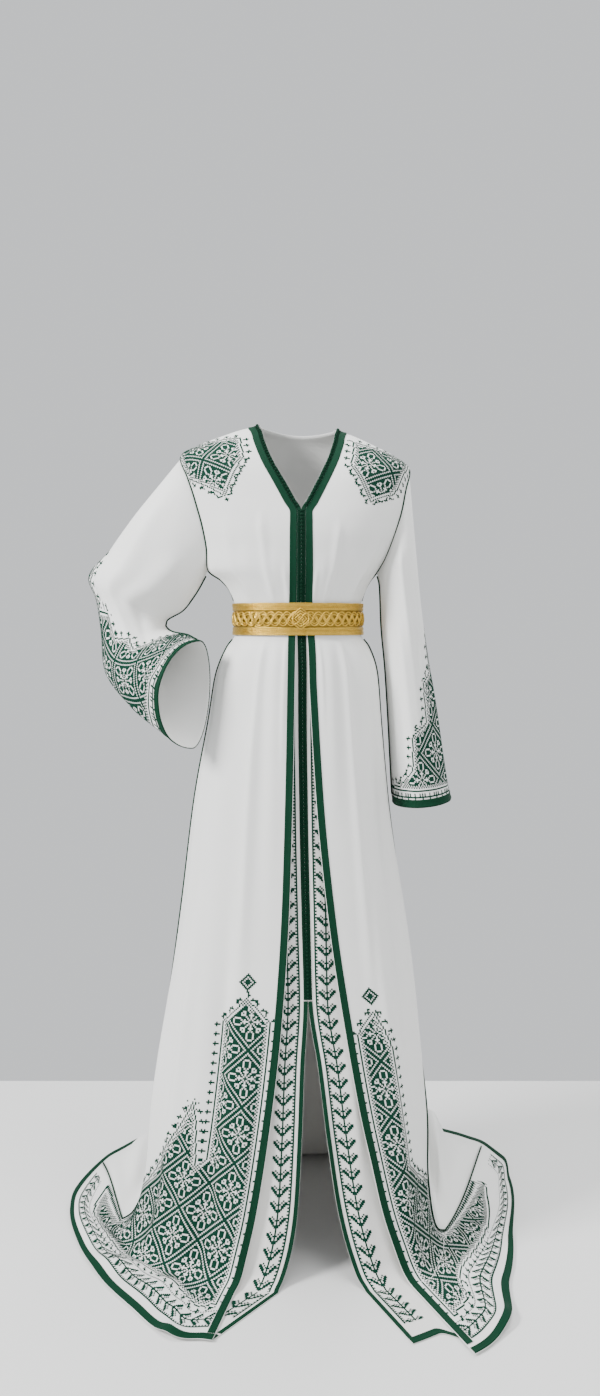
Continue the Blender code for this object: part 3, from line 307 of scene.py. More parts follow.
def follow(stops, values, at):
    """Smooth curve through a table's values that never swings past them, for many places at once."""
    stops = np.asarray(stops, dtype=float)
    values = np.asarray(values, dtype=float)
    at = np.clip(np.asarray(at, dtype=float), stops[0], stops[-1])
    place = np.clip(np.searchsorted(stops, at, side="right") - 1, 0, len(stops) - 2)
    steps = np.diff(stops)
    slopes = np.diff(values) / steps
    ends = np.concatenate(([slopes[0]], slopes, [slopes[-1]]))
    before, after = ends[:-1], ends[1:]
    same = before * after > 0
    bends = np.where(same, 2 * before * after / np.where(same, before + after, 1.0), 0.0)
    step = steps[place]
    part = (at - stops[place]) / step
    square, cube = part * part, part ** 3
    return (
        values[place] * (2 * cube - 3 * square + 1) + bends[place] * step * (cube - 2 * square + part)
        + values[place + 1] * (3 * square - 2 * cube) + bends[place + 1] * step * (cube - square)
    )


def read(rows, names, key, name, at):
    """A table's smooth value of one column at places along its key column."""
    return follow(column(rows, names, key), column(rows, names, name), at)


def straight(rows, names, at):
    """A table of two columns, read in straight lines at places along the first."""
    return np.interp(at, *(column(rows, names, name) for name in names))


RING_VALUES = {name: column(RINGS, RING_COLUMNS, name) for name in RING_COLUMNS}
RING_LEVELS = np.arange(len(RINGS), dtype=float)


def ring_value(name, level):
    """One value of the body's rings at levels between them."""
    return follow(RING_LEVELS, RING_VALUES[name], level)


def ease(part):
    """Smooth step from 0 to 1."""
    part = np.clip(part, 0.0, 1.0)
    return part * part * (3 - 2 * part)


def turn_between(first, second):
    """Smallest difference of two angles in degrees."""
    return (first - second + 180) % 360 - 180


def shown_between(level, start, end):
    """How much of a fold shows at a level."""
    return ease((level - start) / FOLD_FADE) * ease((end - level) / FOLD_FADE)


def bell(away, width):
    """A smooth bump of height 1, for distances from its middle."""
    return np.exp(-((away / width) ** 2))


def fold_depth(angle, level):
    """How far the folds and creases of the outer layer stand out."""
    return crease_depth(FOLDS, angle, level, 1.0) + crease_depth(CREASES, angle, level)


def crease_depth(table, angle, level, strength=CREASE_STRENGTH):
    """How far a table's creases stand out. The folds have no lean."""
    depth = 0.0
    for row in table:
        crease = dict(zip(CREASE_COLUMNS, row))
        middle = crease["angle"] + crease.get("lean", 0.0) * (level - crease["start"])
        near = bell(turn_between(angle, middle), crease["width"])
        shown = shown_between(level, crease["start"], crease["end"])
        depth = depth + strength * crease["depth"] * near * shown
    return depth


def one_wave(row, angle, place):
    """How high one wave or ripple stands."""
    wave = dict(zip(WAVE_COLUMNS, row))
    near = bell(turn_between(angle, wave["angle"]), wave["width"])
    return wave["height"] * near * bell(place - wave["place"], wave["spread"])


def wave_height(angle, place):
    """How high the waves and ripples stand where the outer layer lies on the floor."""
    rim = 0.25
    rise = ease(place / rim)
    height = sum(one_wave(row, angle, place) for row in FLOOR_WAVES) * rise * ease((1 - place) / rim)
    for row in FLOOR_RIPPLES:
        height = height + one_wave(row, angle, place) * rise
    return height


def standing_points(angle, level, inner):
    """Points of the body or the skirt above the floor."""
    inset = 0.0
    if inner:
        start, levels = 14.5, 3.5
        inset = LAYER_INSET + (LOWER_LAYER_INSET - LAYER_INSET) * ease((level - start) / levels)
    left = angle >= 0
    fore = np.abs(angle) <= 90
    half = np.where(left, ring_value("left", level), ring_value("right", level)) - inset
    depth = np.where(fore, ring_value("fore", level), ring_value("aft", level)) - inset
    square = np.where(left, ring_value("square_left", level), ring_value("square_right", level))
    turn = np.radians(np.abs(angle))
    across, ahead = np.sin(turn), np.cos(turn)
    reach = (np.abs(across / half) ** square + np.abs(ahead / depth) ** square) ** (-1 / square)
    reach = reach + (crease_depth(INNER_CREASES, angle, level) if inner else fold_depth(angle, level))
    x = ring_value("centre", level) + np.where(left, reach * across, -reach * across)
    end = np.where(fore, ring_value("front", level), ring_value("back", level))
    height = end + (ring_value("side", level) - end) * across ** 2
    waist, tip = RING_VALUES["side"][WAIST], RING_VALUES["side"][TIP]
    height = height + SHOULDER_TILT * x * ease((height - waist) / (tip - waist))
    return np.stack((x, -reach * ahead, height), axis=-1)


def body_points(angle, level, inner=False):
    """Points of the outer face of the outer layer, or of the inner layer."""
    angle, level = np.broadcast_arrays(np.asarray(angle, dtype=float), np.asarray(level, dtype=float))
    angle = turn_between(angle, 0.0)
    point = standing_points(angle, np.minimum(level, TOUCH), inner)
    if inner:
        point[..., 2] -= (FLOOR_LIFT_OUTER - FLOOR_LIFT_INNER) * ease((level - TOUCH + 2) / 2)
    place = np.clip((level - TOUCH) / (HEM - TOUCH), 0.0, None)
    left = angle >= 0
    tables = (INNER_HEM_LEFT, INNER_HEM_RIGHT) if inner else (OUTER_HEM_LEFT, OUTER_HEM_RIGHT)
    size = np.abs(angle)
    floor, reach = (
        np.where(left, read(tables[0], HEM_COLUMNS, "cloth", name, size),
                 read(tables[1], HEM_COLUMNS, "cloth", name, size))
        for name in ("floor", "reach")
    )
    floor = np.radians(floor)
    across = np.where(left, 1.0, -1.0) * reach * np.sin(floor)
    centre = RING_VALUES["centre"][TOUCH]
    end = np.stack((centre + across, -reach * np.cos(floor), point[..., 2]), axis=-1)
    point = point + (end - point) * place[..., None]
    if not inner:
        point[..., 2] += np.where(place > 0, wave_height(angle, place), 0.0)
    point[..., 2] -= SHOULDER_HEIGHT
    return point


def angle_at(x, level, inner=False):
    """The angle on the front half of a ring where it passes a sideways place."""
    x, level = np.broadcast_arrays(np.asarray(x, dtype=float), np.asarray(level, dtype=float))
    low, high = np.full(x.shape, -90.0), np.full(x.shape, 90.0)
    for _ in range(ANGLE_HALVINGS):
        middle = (low + high) / 2
        before = standing_points(middle, np.minimum(level, TOUCH), inner)[..., 0] < x
        low, high = np.where(before, middle, low), np.where(before, high, middle)
    return (low + high) / 2


def edge_angle(side, level, inner=False):
    """The angle of a front's own edge at levels."""
    name = "right" if side < 0 else "left"
    level = np.minimum(np.asarray(level, dtype=float), TOUCH)
    if inner:
        x = read(INNER_EDGE, EDGE_COLUMNS, "level", name, level)
    else:
        x = np.where(level < FRONT_EDGE[0][0], read(NECK_EDGE, EDGE_COLUMNS, "level", name, level),
                     read(FRONT_EDGE, EDGE_COLUMNS, "level", name, level))
    return np.where(level <= 0, side * 90.0, angle_at(x, np.maximum(level, 0.0), inner))


def side_angle(side, level):
    """The angle of a side seam at levels."""
    name = "right" if side < 0 else "left"
    return side * read(SIDE_SEAM, SEAM_COLUMNS, "level", name, level)


def lengths_along(points, axis):
    """Lengths along one direction of a grid of points, from 0 at its start."""
    steps = np.linalg.norm(np.diff(points, axis=axis), axis=-1)
    start = np.zeros_like(np.take(steps, [0], axis=axis))
    return np.concatenate((start, np.cumsum(steps, axis=axis)), axis=axis)


class Panel:
    """A cut piece of the body. Shares across and down become places on the cloth, and so do lengths."""

    def __init__(self, rows, turn, inner=False):
        self.rows = np.array(rows, dtype=float)
        self.turn = turn
        self.inner = inner
        self.across_stops, self.down_stops = (np.linspace(0, 1, count) for count in PANEL_PLACES)
        across, down = np.meshgrid(self.across_stops, self.down_stops)
        points = self.points(across, down)
        self.across_lengths = lengths_along(points, 1)
        self.down_lengths = lengths_along(points, 0)
        self.main = self.down_lengths[:, int(len(self.across_stops) * MAIN_LINE)]
        self.length = float(self.main[-1])
        self.width = float(self.across_lengths[:, -1].max())
        self.flat = (self.width, float(self.down_lengths[-1].max()))
        cells = np.diff(self.across_lengths, axis=1)[:-1] * np.diff(self.down_lengths, axis=0)[:, :-1]
        self.area = float(cells.sum())

    def points(self, across, down):
        """Points at shares across and down."""
        at = np.asarray(down) * (len(self.rows) - 1)
        stops = np.arange(len(self.rows))
        ends = [follow(stops, self.rows[:, place], at) for place in range(4)]
        begin, begin_level, finish, finish_level = ends
        angle = begin + (finish - begin) * across
        return body_points(angle, begin_level + (finish_level - begin_level) * across, self.inner)

    def even(self, share):
        """The share down at a share of the length."""
        return np.interp(share * self.length, self.main, self.down_stops)

    def length_at(self, level):
        """The length from the top to where a level meets the front edge."""
        row = np.interp(level, self.rows[:, 1], np.arange(len(self.rows)))
        return float(np.interp(row / (len(self.rows) - 1), self.down_stops, self.main))

    def down_at(self, length):
        """The share down at a length from the top."""
        return np.interp(length, self.main, self.down_stops)

    def row_lengths(self, down):
        """Lengths across at one share down."""
        place = min(max(down * (len(self.down_stops) - 1), 0), len(self.down_stops) - 1.001)
        row = int(place)
        above, below = self.across_lengths[row:row + 2]
        return above + (below - above) * (place - row)

    def column_lengths(self, across):
        """Lengths up from the hem at one share across."""
        place = min(max(across * (len(self.across_stops) - 1), 0), len(self.across_stops) - 1.001)
        first = int(place)
        near, far = self.down_lengths[:, first], self.down_lengths[:, first + 1]
        lengths = near + (far - near) * (place - first)
        return lengths[-1] - lengths

    def from_edge(self, across, down):
        """Shares for lengths from the front edge and from the top, one row of a grid after another."""
        shares = np.empty_like(across)
        places = self.down_at(down)
        for row in range(across.shape[0]):
            shares[row] = np.interp(across[row], self.row_lengths(places[row, 0]), self.across_stops)
        return shares, places

    def from_hem(self, along, up):
        """Shares for lengths along the hem and up from it, one column of a grid after another."""
        shares = np.interp(along, self.across_lengths[-1], self.across_stops)
        places = np.empty_like(up)
        for place in range(up.shape[1]):
            rise = self.column_lengths(shares[0, place])
            places[:, place] = np.interp(up[:, place], rise[::-1], self.down_stops[::-1])
        return shares, places

    def above_hem(self, across, down):
        """Lengths up from the hem at shares across and down."""
        place = across * (len(self.across_stops) - 1)
        first = np.clip(place.astype(int), 0, len(self.across_stops) - 2)
        row = np.clip((down * (len(self.down_stops) - 1)).astype(int), 0, len(self.down_stops) - 1)
        total = self.down_lengths[-1, first]
        return total - self.down_lengths[row, first]


def front_panel(side):
    """An outer front, from its shoulder seam to its hem."""
    rows = []
    for edge_level, arm_level in YOKE_ROWS:
        arm = side * read(ARMHOLE, ARMHOLE_COLUMNS, "level", "front", arm_level)
        rows.append((edge_angle(side, edge_level), edge_level, arm, arm_level))
    for level in (*LOWER_LEVELS, HEM):
        rows.append((edge_angle(side, level), level, side_angle(side, level), level))
    return Panel(rows, side)


def inner_front_panel(side):
    """An inner front, from under the belt to its hem."""
    levels = (*INNER_LEVELS, HEM)
    rows = [(edge_angle(side, level, True), level, side_angle(side, level), level) for level in levels]
    return Panel(rows, side, True)


def back_panel():
    """The outer back, from the wearer's right seam round to the left one."""
    rows = []
    for level in (*BACK_NECK_LEVELS, *(row[1] for row in YOKE_ROWS), *LOWER_LEVELS, HEM):
        inside = TIP < level < UNDERARM
        right, left = (
            side * read(ARMHOLE, ARMHOLE_COLUMNS, "level", "back", level) if inside
            else side_angle(side, level) for side in (-1, 1)
        )
        rows.append((right, level, left - 360, level))
    return Panel(rows, -1)


def inner_back_panel():
    """The inner back, from the wearer's right seam round to the left one."""
    levels = (*INNER_LEVELS, HEM)
    rows = [(side_angle(-1, level), level, side_angle(1, level) - 360, level) for level in levels]
    return Panel(rows, -1, True)


# Creases of the sleeves: turn and width in degrees round the sleeve from its upper line, depth, the
# shares of its length where each starts and ends, and how many degrees it leans over that length
SLEEVE_CREASE_COLUMNS = ("turn", "width", "depth", "start", "end", "lean")
BENT_CREASES = (
    (60, 14, 0.006, 0.04, 0.52, 34), (104, 12, 0.006, 0.10, 0.55, -20), (150, 14, 0.005, 0.25, 0.62, -40),
    (40, 10, -0.005, 0.30, 0.70, 60), (84, 9, 0.005, 0.36, 0.72, 40), (120, 9, -0.004, 0.40, 0.80, 10),
    (30, 10, 0.004, 0.55, 1.05, 30), (100, 10, 0.004, 0.62, 1.05, -10), (255, 16, 0.006, 0.1, 0.9, 20),
    (300, 14, 0.005, 0.15, 0.9, -20), (210, 12, -0.004, 0.3, 0.9, 0),
)
HANGING_CREASES = (
    (52, 11, 0.005, 0.10, 0.62, 20), (88, 10, 0.0045, 0.02, 0.50, -16), (70, 10, -0.004, 0.34, 0.92, 12),
    (108, 12, 0.006, 0.30, 1.05, -8), (30, 10, 0.0035, 0.45, 1.05, 6), (140, 10, 0.004, 0.20, 1.0, 0),
    (230, 14, 0.006, 0.1, 1.0, 10), (275, 12, -0.004, 0.2, 1.0, 0), (315, 12, 0.005, 0.1, 0.9, -12),
)


class Sleeve:
    """A sleeve round its wearer's arm. Shares run round from its upper line, and down from the armhole."""

    def __init__(self, side, sections, creases):
        self.creases = creases
        levels = np.linspace(TIP, UNDERARM, ARMHOLE_PLACES)
        fore, rear = (
            body_points(side * read(ARMHOLE, ARMHOLE_COLUMNS, "level", name, levels), levels)
            for name in ("front", "back")
        )
        lengths = [lengths_along(line, 0) for line in (fore, rear)]
        self.loop = np.concatenate((fore, rear[-2:0:-1]))
        fore_turns = math.pi * lengths[0] / lengths[0][-1]
        rear_turns = 2 * math.pi - math.pi * lengths[1][-2:0:-1] / lengths[1][-1]
        self.loop_turns = np.concatenate((fore_turns, rear_turns))
        self.sections = [dict(zip(SLEEVE_COLUMNS, row)) for row in sections]
        keys = self.keys(np.linspace(0, 2 * math.pi, GAP_TURNS, endpoint=False))
        gaps = np.linalg.norm(np.diff(keys, axis=0), axis=2).mean(axis=1)
        self.stops = np.concatenate(([0], np.cumsum(gaps)))
        self.length = float(self.stops[-1])
        across, down = np.meshgrid(*(np.linspace(0, 1, count) for count in SLEEVE_PLACES))
        self.turn = 1
        facing = np.cross(*self.slopes(across, down))
        points = self.points(across, down)
        if float((facing * (points - points.mean(axis=1, keepdims=True))).sum()) < 0:
            self.turn = -1
        rounds = lengths_along(points, 1)[:, -1]
        self.flat = (float(rounds.max()), float(lengths_along(points, 0)[-1].max()))
        self.girth = float(rounds[-1])
        self.area = float(rounds.mean() * self.length)

    def keys(self, turns):
        """The armhole and the sections at turns round the sleeve."""
        rings = [np.stack([np.interp(turns, self.loop_turns, self.loop[:, axis], period=2 * math.pi)
                           for axis in range(3)], axis=-1)]
        for value in self.sections:
            over = np.array((value["over_x"], value["y"], value["over_z"] - SHOULDER_HEIGHT))
            below = np.array((value["under_x"], value["y"], value["under_z"] - SHOULDER_HEIGHT))
            fore = np.array((value["fore_x"], value["fore_y"], 0.0))
            rear = np.array((value["rear_x"], value["rear_y"], 0.0))
            wall = np.where((turns % (2 * math.pi) <= math.pi)[:, None], fore, rear)
            ring = (over + below) / 2 + (over - below) / 2 * np.cos(turns)[:, None]
            rings.append(ring + wall * np.abs(np.sin(turns))[:, None])
        return np.array(rings)

    def points(self, across, down):
        """Points of a grid of shares: every row has the same shares across, every column the same down."""
        turns = across[0] * 2 * math.pi
        keys = self.keys(turns)
        at = down[:, 0] * self.length
        points = np.empty((*across.shape, 3))
        for place in range(across.shape[1]):
            for axis in range(3):
                points[:, place, axis] = follow(self.stops, keys[:, place, axis], at)
        away = points - self.centres(down)[:, None, :]
        away /= np.linalg.norm(away, axis=2, keepdims=True)
        depth = np.zeros(across.shape)
        fade = 0.3
        for row in self.creases:
            crease = dict(zip(SLEEVE_CREASE_COLUMNS, row))
            part = (down - crease["start"]) / (crease["end"] - crease["start"])
            middle = crease["turn"] + crease["lean"] * (part - 0.5)
            near = bell(turn_between(across * 360, middle), crease["width"])
            depth += crease["depth"] * near * ease(part / fade) * ease((1 - part) / fade)
        return points + away * depth[..., None]

    def centres(self, down):
        """The middle of the sleeve at shares down."""
        keys = self.keys(np.linspace(0, 2 * math.pi, CENTRE_TURNS, endpoint=False)).mean(axis=1)
        at = down[:, 0] * self.length
        return np.stack([follow(self.stops, keys[:, axis], at) for axis in range(3)], axis=-1)

    def slopes(self, across, down):
        """Directions down and across at places."""
        step = 0.004
        below = self.points(across, np.clip(down + step, 0, 1))
        above = self.points(across, np.clip(down - step, 0, 1))
        return below - above, self.points(across + step, down) - self.points(across - step, down)


def facing_of(points, turn, around=False):
    """Outward directions of a grid of points on a surface, from its lowest row to its highest."""
    up = np.gradient(points, axis=0)
    if around:
        padded = np.concatenate((points[:, -2:-1], points, points[:, 1:2]), axis=1)
        across = (padded[:, 2:] - padded[:, :-2]) / 2
    else:
        across = np.gradient(points, axis=1)
    normals = np.cross(across, up) * turn
    return normals / np.maximum(np.linalg.norm(normals, axis=-1, keepdims=True), 1e-12)


def new_mesh():
    """An empty bmesh with its UV map."""
    bm = bmesh.new()
    bm.loops.layers.uv.new("UVMap")
    return bm


def new_grid(columns, rows):
    """A flat grid with its UV map, and the shares across and down of its points."""
    bm = new_mesh()
    bmesh.ops.create_grid(bm, x_segments=columns, y_segments=rows, size=0.5, calc_uvs=True)
    flat = np.array([vert.co for vert in bm.verts]).reshape(rows + 1, columns + 1, 3)
    return bm, flat[..., 0] + 0.5, 0.5 - flat[..., 1]


def place_points(bm, points):
    """Move a grid's points onto a surface."""
    for vert, point in zip(bm.verts, points.reshape(-1, 3)):
        vert.co = point


def make_piece(name, bm, surface, nodes=(), size=None, turn=1, around=False):
    """Turn a bmesh into a piece that rides on the body and stands for its solids."""
    if around:
        bmesh.ops.remove_doubles(bm, verts=bm.verts, dist=WELD)
    if turn < 0:
        bmesh.ops.reverse_faces(bm, faces=bm.faces)
    mesh = bpy.data.meshes.new(name)
    bm.to_mesh(mesh)
    bm.free()
    mesh.shade_smooth()
    if size is not None:
        layer = mesh.uv_layers[0].uv
        values = np.empty(len(layer) * 2)
        layer.foreach_get("vector", values)
        layer.foreach_set("vector", (values.reshape(-1, 2) * size).ravel())
    piece = bpy.data.objects.new(name, mesh)
    bpy.context.scene.collection.objects.link(piece)
    mesh.materials.append(surface)
    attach(piece, "root")
    if nodes:
        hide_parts(*nodes)
    return piece


def give_thickness(piece, thickness):
    """Thicken a sheet inwards."""
    wall = piece.modifiers.new("Cloth thickness", "SOLIDIFY")
    wall.thickness = thickness
    wall.offset = -1.0
    wall.use_even_offset = False
    return piece


def on_panel(panel, shares, lift=None):
    """Points of shares on a panel, moved out by a lift for each one."""
    points = panel.points(*shares)
    if lift is None:
        return points
    return points + facing_of(points, panel.turn) * np.asarray(lift)[..., None]


def cloth_piece(name, panel, faces, surface, nodes, thickness):
    """A whole panel as a thin sheet of cloth."""
    bm, across, down = new_grid(*faces)
    place_points(bm, panel.points(across, panel.even(down)))
    size = (panel.width, panel.length)
    piece = make_piece(name, bm, surface, nodes, size=size, turn=panel.turn)
    return give_thickness(piece, thickness)


def braid_relief(across, length):
    """Height of a woven braid: a cord on each side and slanted floats that meet in the middle."""
    pitch, slant, rim_width, cord_place, cord_width, groove = 0.0042, 2.4, 0.07, 0.13, 0.07, 0.06
    side = np.minimum(across, 1 - across)
    cords = bell(side - cord_place, cord_width)
    floats = 0.5 + 0.5 * np.cos(2 * math.pi * (length / pitch + np.abs(across - 0.5) * slant))
    middle = 1 - 0.6 * bell(across - 0.5, groove)
    least, body, relief = 0.0002, 0.0007, 0.0005
    return least + ease(side / rim_width) * (body + relief * cords + relief * floats * middle)


def strip_piece(name, panel, sides, ends, surface, nodes=(), step=0.0012, columns=BRAID_FACES):
    """A braid that lies on a panel along its front edge, between two lengths down."""
    rows = int((ends[1] - ends[0]) / step)
    bm, across, down = new_grid(columns, rows)
    length = ends[0] + (ends[1] - ends[0]) * down
    near, far = sides(panel.down_at(length))
    shares = panel.from_edge(near + (far - near) * across, length)
    place_points(bm, on_panel(panel, shares, braid_relief(across, length)))
    size = (BRAID_WIDTH, ends[1] - ends[0])
    return make_piece(name, bm, surface, nodes, size=size, turn=panel.turn)


def hem_piece(name, panel, width, surface, nodes, step=0.0016):
    """A braid that lies along a panel's hem, from its front edge to a width."""
    bm, across, down = new_grid(int(width / step), BRAID_FACES)
    run = width * across
    shares = panel.from_hem(run, HEM_BRAID_WIDTH * (1 - down))
    place_points(bm, on_panel(panel, shares, braid_relief(down, run) + TINY_GAP))
    size = (width, HEM_BRAID_WIDTH)
    return make_piece(name, bm, surface, nodes, size=size, turn=panel.turn)


def tube_points(path, normals, radius, around, closed=False):
    """Points of a cord round a path: a row for each place on the path."""
    ahead = np.gradient(path, axis=0)
    if closed:
        ahead[0] = ahead[-1] = path[1] - path[-2]
    ahead /= np.linalg.norm(ahead, axis=1, keepdims=True)
    beside = np.cross(ahead, normals)
    beside /= np.linalg.norm(beside, axis=1, keepdims=True)
    upright = np.cross(beside, ahead)
    turns = around * 2 * math.pi
    out = np.cos(turns)[..., None] * upright[:, None] + np.sin(turns)[..., None] * beside[:, None]
    return path[:, None] + out * radius


def cord_mesh(bm, path, normals, radius, sides=6, closed=False):
    """Add a cord along a path to a bmesh, from a grid rolled into a tube."""
    part, across, _ = new_grid(sides, len(path) - 1)
    place_points(part, tube_points(path, normals, radius, across, closed))
    bmesh.ops.remove_doubles(part, verts=part.verts, dist=WELD)
    bmesh.ops.recalc_face_normals(part, faces=part.faces)
    mesh = bpy.data.meshes.new("cord")
    part.to_mesh(mesh)
    part.free()
    bm.from_mesh(mesh)
    bpy.data.meshes.remove(mesh)


def ring_cord(bm, path, normals, radius, sides):
    """Add a cord along a path whose end is brought back to its start."""
    path[-1] = path[0]
    cord_mesh(bm, path, normals, radius, sides, True)


def even_path(points, normals, step, closed=False):
    """Places at even steps along a line, with their outward directions."""
    lengths = lengths_along(points, 0)
    count = max(int(lengths[-1] / step), 4)
    at = np.linspace(0, lengths[-1], count + 1)
    path = np.stack([np.interp(at, lengths, points[:, axis]) for axis in range(3)], axis=-1)
    outward = np.stack([np.interp(at, lengths, normals[:, axis]) for axis in range(3)], axis=-1)
    if closed:
        path[-1] = path[0]
    return path, outward / np.linalg.norm(outward, axis=1, keepdims=True)


def add_unit(bm, unit, place, out, along):
    """Add a unit at a place: its X runs across the line, its Z out of the cloth."""
    out, along = Vector(out).normalized(), Vector(along).normalized()
    beside = out.cross(along).normalized()
    turned = Matrix((beside, along, out)).transposed().to_4x4()
    turned.translation = Vector(place)
    count = len(bm.verts)
    bm.from_mesh(unit)
    bm.verts.ensure_lookup_table()
    bmesh.ops.transform(bm, matrix=turned, verts=bm.verts[count:])


# The embroidery is counted: a chart says which cells of a grid of stitches are worked in green.
# Outlines are lengths in metres, across from the front edge and down from the shoulder
OUTLINE_COLUMNS = ("across", "down")
FIELD_RIGHT = (
    (0.020, 1.205), (0.046, 1.182), (0.070, 1.160), (0.098, 1.190), (0.124, 1.214), (0.1245, 1.470),
    (0.140, 1.480), (0.1505, 1.400), (0.163, 1.364), (0.186, 1.412), (0.220, 1.474), (0.272, 1.555),
    (0.320, 1.600), (0.420, 1.668), (0.550, 1.735),
)
FIELD_LEFT = (
    (0.020, 1.215), (0.040, 1.190), (0.060, 1.172), (0.076, 1.205), (0.088, 1.247), (0.0885, 1.470),
    (0.120, 1.500), (0.162, 1.535), (0.260, 1.600), (0.360, 1.672), (0.480, 1.735),
)
SHOULDER_RIGHT_PATCH = ((0.044, 0.062), (0.171, 0.026), (0.190, 0.112), (0.125, 0.198), (0.051, 0.119))
SHOULDER_LEFT_PATCH = ((0.038, 0.054), (0.163, 0.031), (0.157, 0.146), (0.115, 0.188), (0.047, 0.120))
SHOULDER_CORNER = (0.024, 0.006)
SHOULDER_CELLS = (60, 68)
FIELD_ABOVE_HEM = 0.092
LEAF_BAND = (0.030, 0.078)

# Sizes in stitches, and how high a stitch lies and peaks in metres
STITCH = 0.003
STITCH_LIFT = 0.0005
STITCH_PEAK = 0.0004
LATTICE = 34
SPRIG = 9
TUFT = 6
LEAF_COLUMNS = 14
LEAF_STEM = 7
# The leaves' slanted rows: nearest and farthest stitch from the stem, and place in the sprig
LEAF_ROWS = ((1, 5, 6), (1, 5, 5), (2, 4, 4), (1, 3, 2))
# Shares across a front past which nothing is worked, and how many outline rows hold its peak
FIELD_LIMIT = 0.985
SHOULDER_LIMIT = 0.98
PEAK_ROWS = 5

# Lengths up from a sleeve's edge: the whole chart, the field's foot, the line and the dots under it
SLEEVE_CHART_HEIGHT = 0.36
SLEEVE_FIELD_FOOT = 0.030
SLEEVE_LINE = (0.017, 0.021)
SLEEVE_DOTS = (0.021, 0.027)


def lattice_white(i, j):
    """Cells left white by the diamond lattice and the figures in it: i across and j down, in stitches."""
    half = LATTICE // 2
    first = (i + j - 1) % LATTICE - half
    second = (i - j - 1) % LATTICE - half
    across, down = np.abs((first + second) // 2), np.abs((first - second) // 2)
    far, near = np.maximum(across, down), np.minimum(across, down)
    ring = across + down
    white = ring == 15
    white |= (near == 0) & (far >= 2) & (far <= 4)
    white |= (near == far) & (far >= 1) & (far <= 3)
    white |= (near == 1) & (far == 4)
    petal = ((far - 8.4) / 3.1) ** 2 + (near / 2.2) ** 2
    white |= (petal > 0.6) & (petal < 1.25)
    square = np.maximum(np.abs(across - 5), np.abs(down - 5))
    white |= (square == 1) & (ring <= 11)
    return white


def grown(mask, count):
    """A chart grown by a number of stitches on every side."""
    for _ in range(count):
        padded = np.pad(mask, 1)
        mask = padded[:-2, 1:-1] | padded[2:, 1:-1] | padded[1:-1, :-2] | padded[1:-1, 2:] | mask
    return mask


def shrunk(mask, count):
    """A chart shrunk by a number of stitches on every side."""
    return ~grown(~np.pad(mask, count), count)[count:-count, count:-count]


def shifted(mask, across, down):
    """A chart moved by a number of stitches."""
    moved = np.zeros_like(mask)
    rows, columns = mask.shape
    source = mask[max(-down, 0):rows - max(down, 0), max(-across, 0):columns - max(across, 0)]
    moved[max(down, 0):rows - max(-down, 0), max(across, 0):columns - max(-across, 0)] = source
    return moved


def field_chart(mask):
    """A bordered field of lattice, with small trees that stand out from its border."""
    rows, columns = mask.shape
    j, i = np.mgrid[0:rows, 0:columns]
    inside = [mask, shrunk(mask, 1), shrunk(mask, 2), shrunk(mask, 4)]
    green = mask & ~inside[1]
    green |= inside[2] & ~inside[3] & ((i + j) % 2 == 0)
    green |= inside[3] & ~lattice_white(i, j)
    outside = ~grown(mask, 1)
    for turn in (-1, 1):
        for reach in (2, 3, 4, 5):
            beside, above = shifted(mask, turn * reach, 0) & outside, shifted(mask, 0, turn * reach) & outside
            green |= beside & (j % TUFT == 3)
            green |= above & (i % TUFT == 3)
            if reach == 4:
                green |= beside & ~shifted(mask, turn * 3, 0) & (np.abs(j % TUFT - 3) == 1)
                green |= above & ~shifted(mask, 0, turn * 3) & (np.abs(i % TUFT - 3) == 1)
    return green


def leaf_chart(rows, columns, down=True):
    """A line, then a stem with pairs of leaves, large and small in turn, along a band."""
    j, i = np.mgrid[0:rows, 0:columns]
    along, over = (j, i) if down else (i, j)
    place = along % SPRIG
    away = np.abs(over - LEAF_STEM)
    green = (over == 0) | (away == 0)
    green |= ((over == 1) | (over == LEAF_COLUMNS)) & (along % 2 == 0)
    for nearest, farthest, turn in LEAF_ROWS:
        green |= (away >= nearest) & (away <= farthest) & ((away + place) % SPRIG == turn)
    return green


def stitches(name, points_of, chart, surface, turn=1, around=False):
    """Raised stitches: a grid cut down to its worked cells, each one a low peak of thread."""
    rows, columns = chart.shape
    bm, across, down = new_grid(columns, rows)
    centres = [(face, face.calc_center_median()) for face in bm.faces]
    bare = [face for face, at in centres if not chart[int((0.5 - at.y) * rows), int((at.x + 0.5) * columns)]]
    points = points_of(across, down)
    place_points(bm, points + facing_of(points, turn, around) * STITCH_LIFT)
    if turn < 0:
        bmesh.ops.reverse_faces(bm, faces=bm.faces)
    bmesh.ops.delete(bm, geom=bare, context="FACES")
    bmesh.ops.poke(bm, faces=bm.faces, offset=STITCH_PEAK)
    return make_piece(name, bm, surface, size=(columns * STITCH, rows * STITCH))


def chart_cells(corner, cells):
    """A chart's columns and rows, and the lengths across and down of its cells' middles."""
    j, i = np.mgrid[0:cells[1], 0:cells[0]]
    return i, j, corner[0] + (i + 0.5) * STITCH, corner[1] + (j + 0.5) * STITCH


def chart_places(panel, corner, cells):
    """A function that turns shares of a chart with its corner on a panel into points."""
    def place(s, t):
        lengths = (corner[0] + s * cells[0] * STITCH, corner[1] + t * cells[1] * STITCH)
        return on_panel(panel, panel.from_edge(*lengths))
    return place


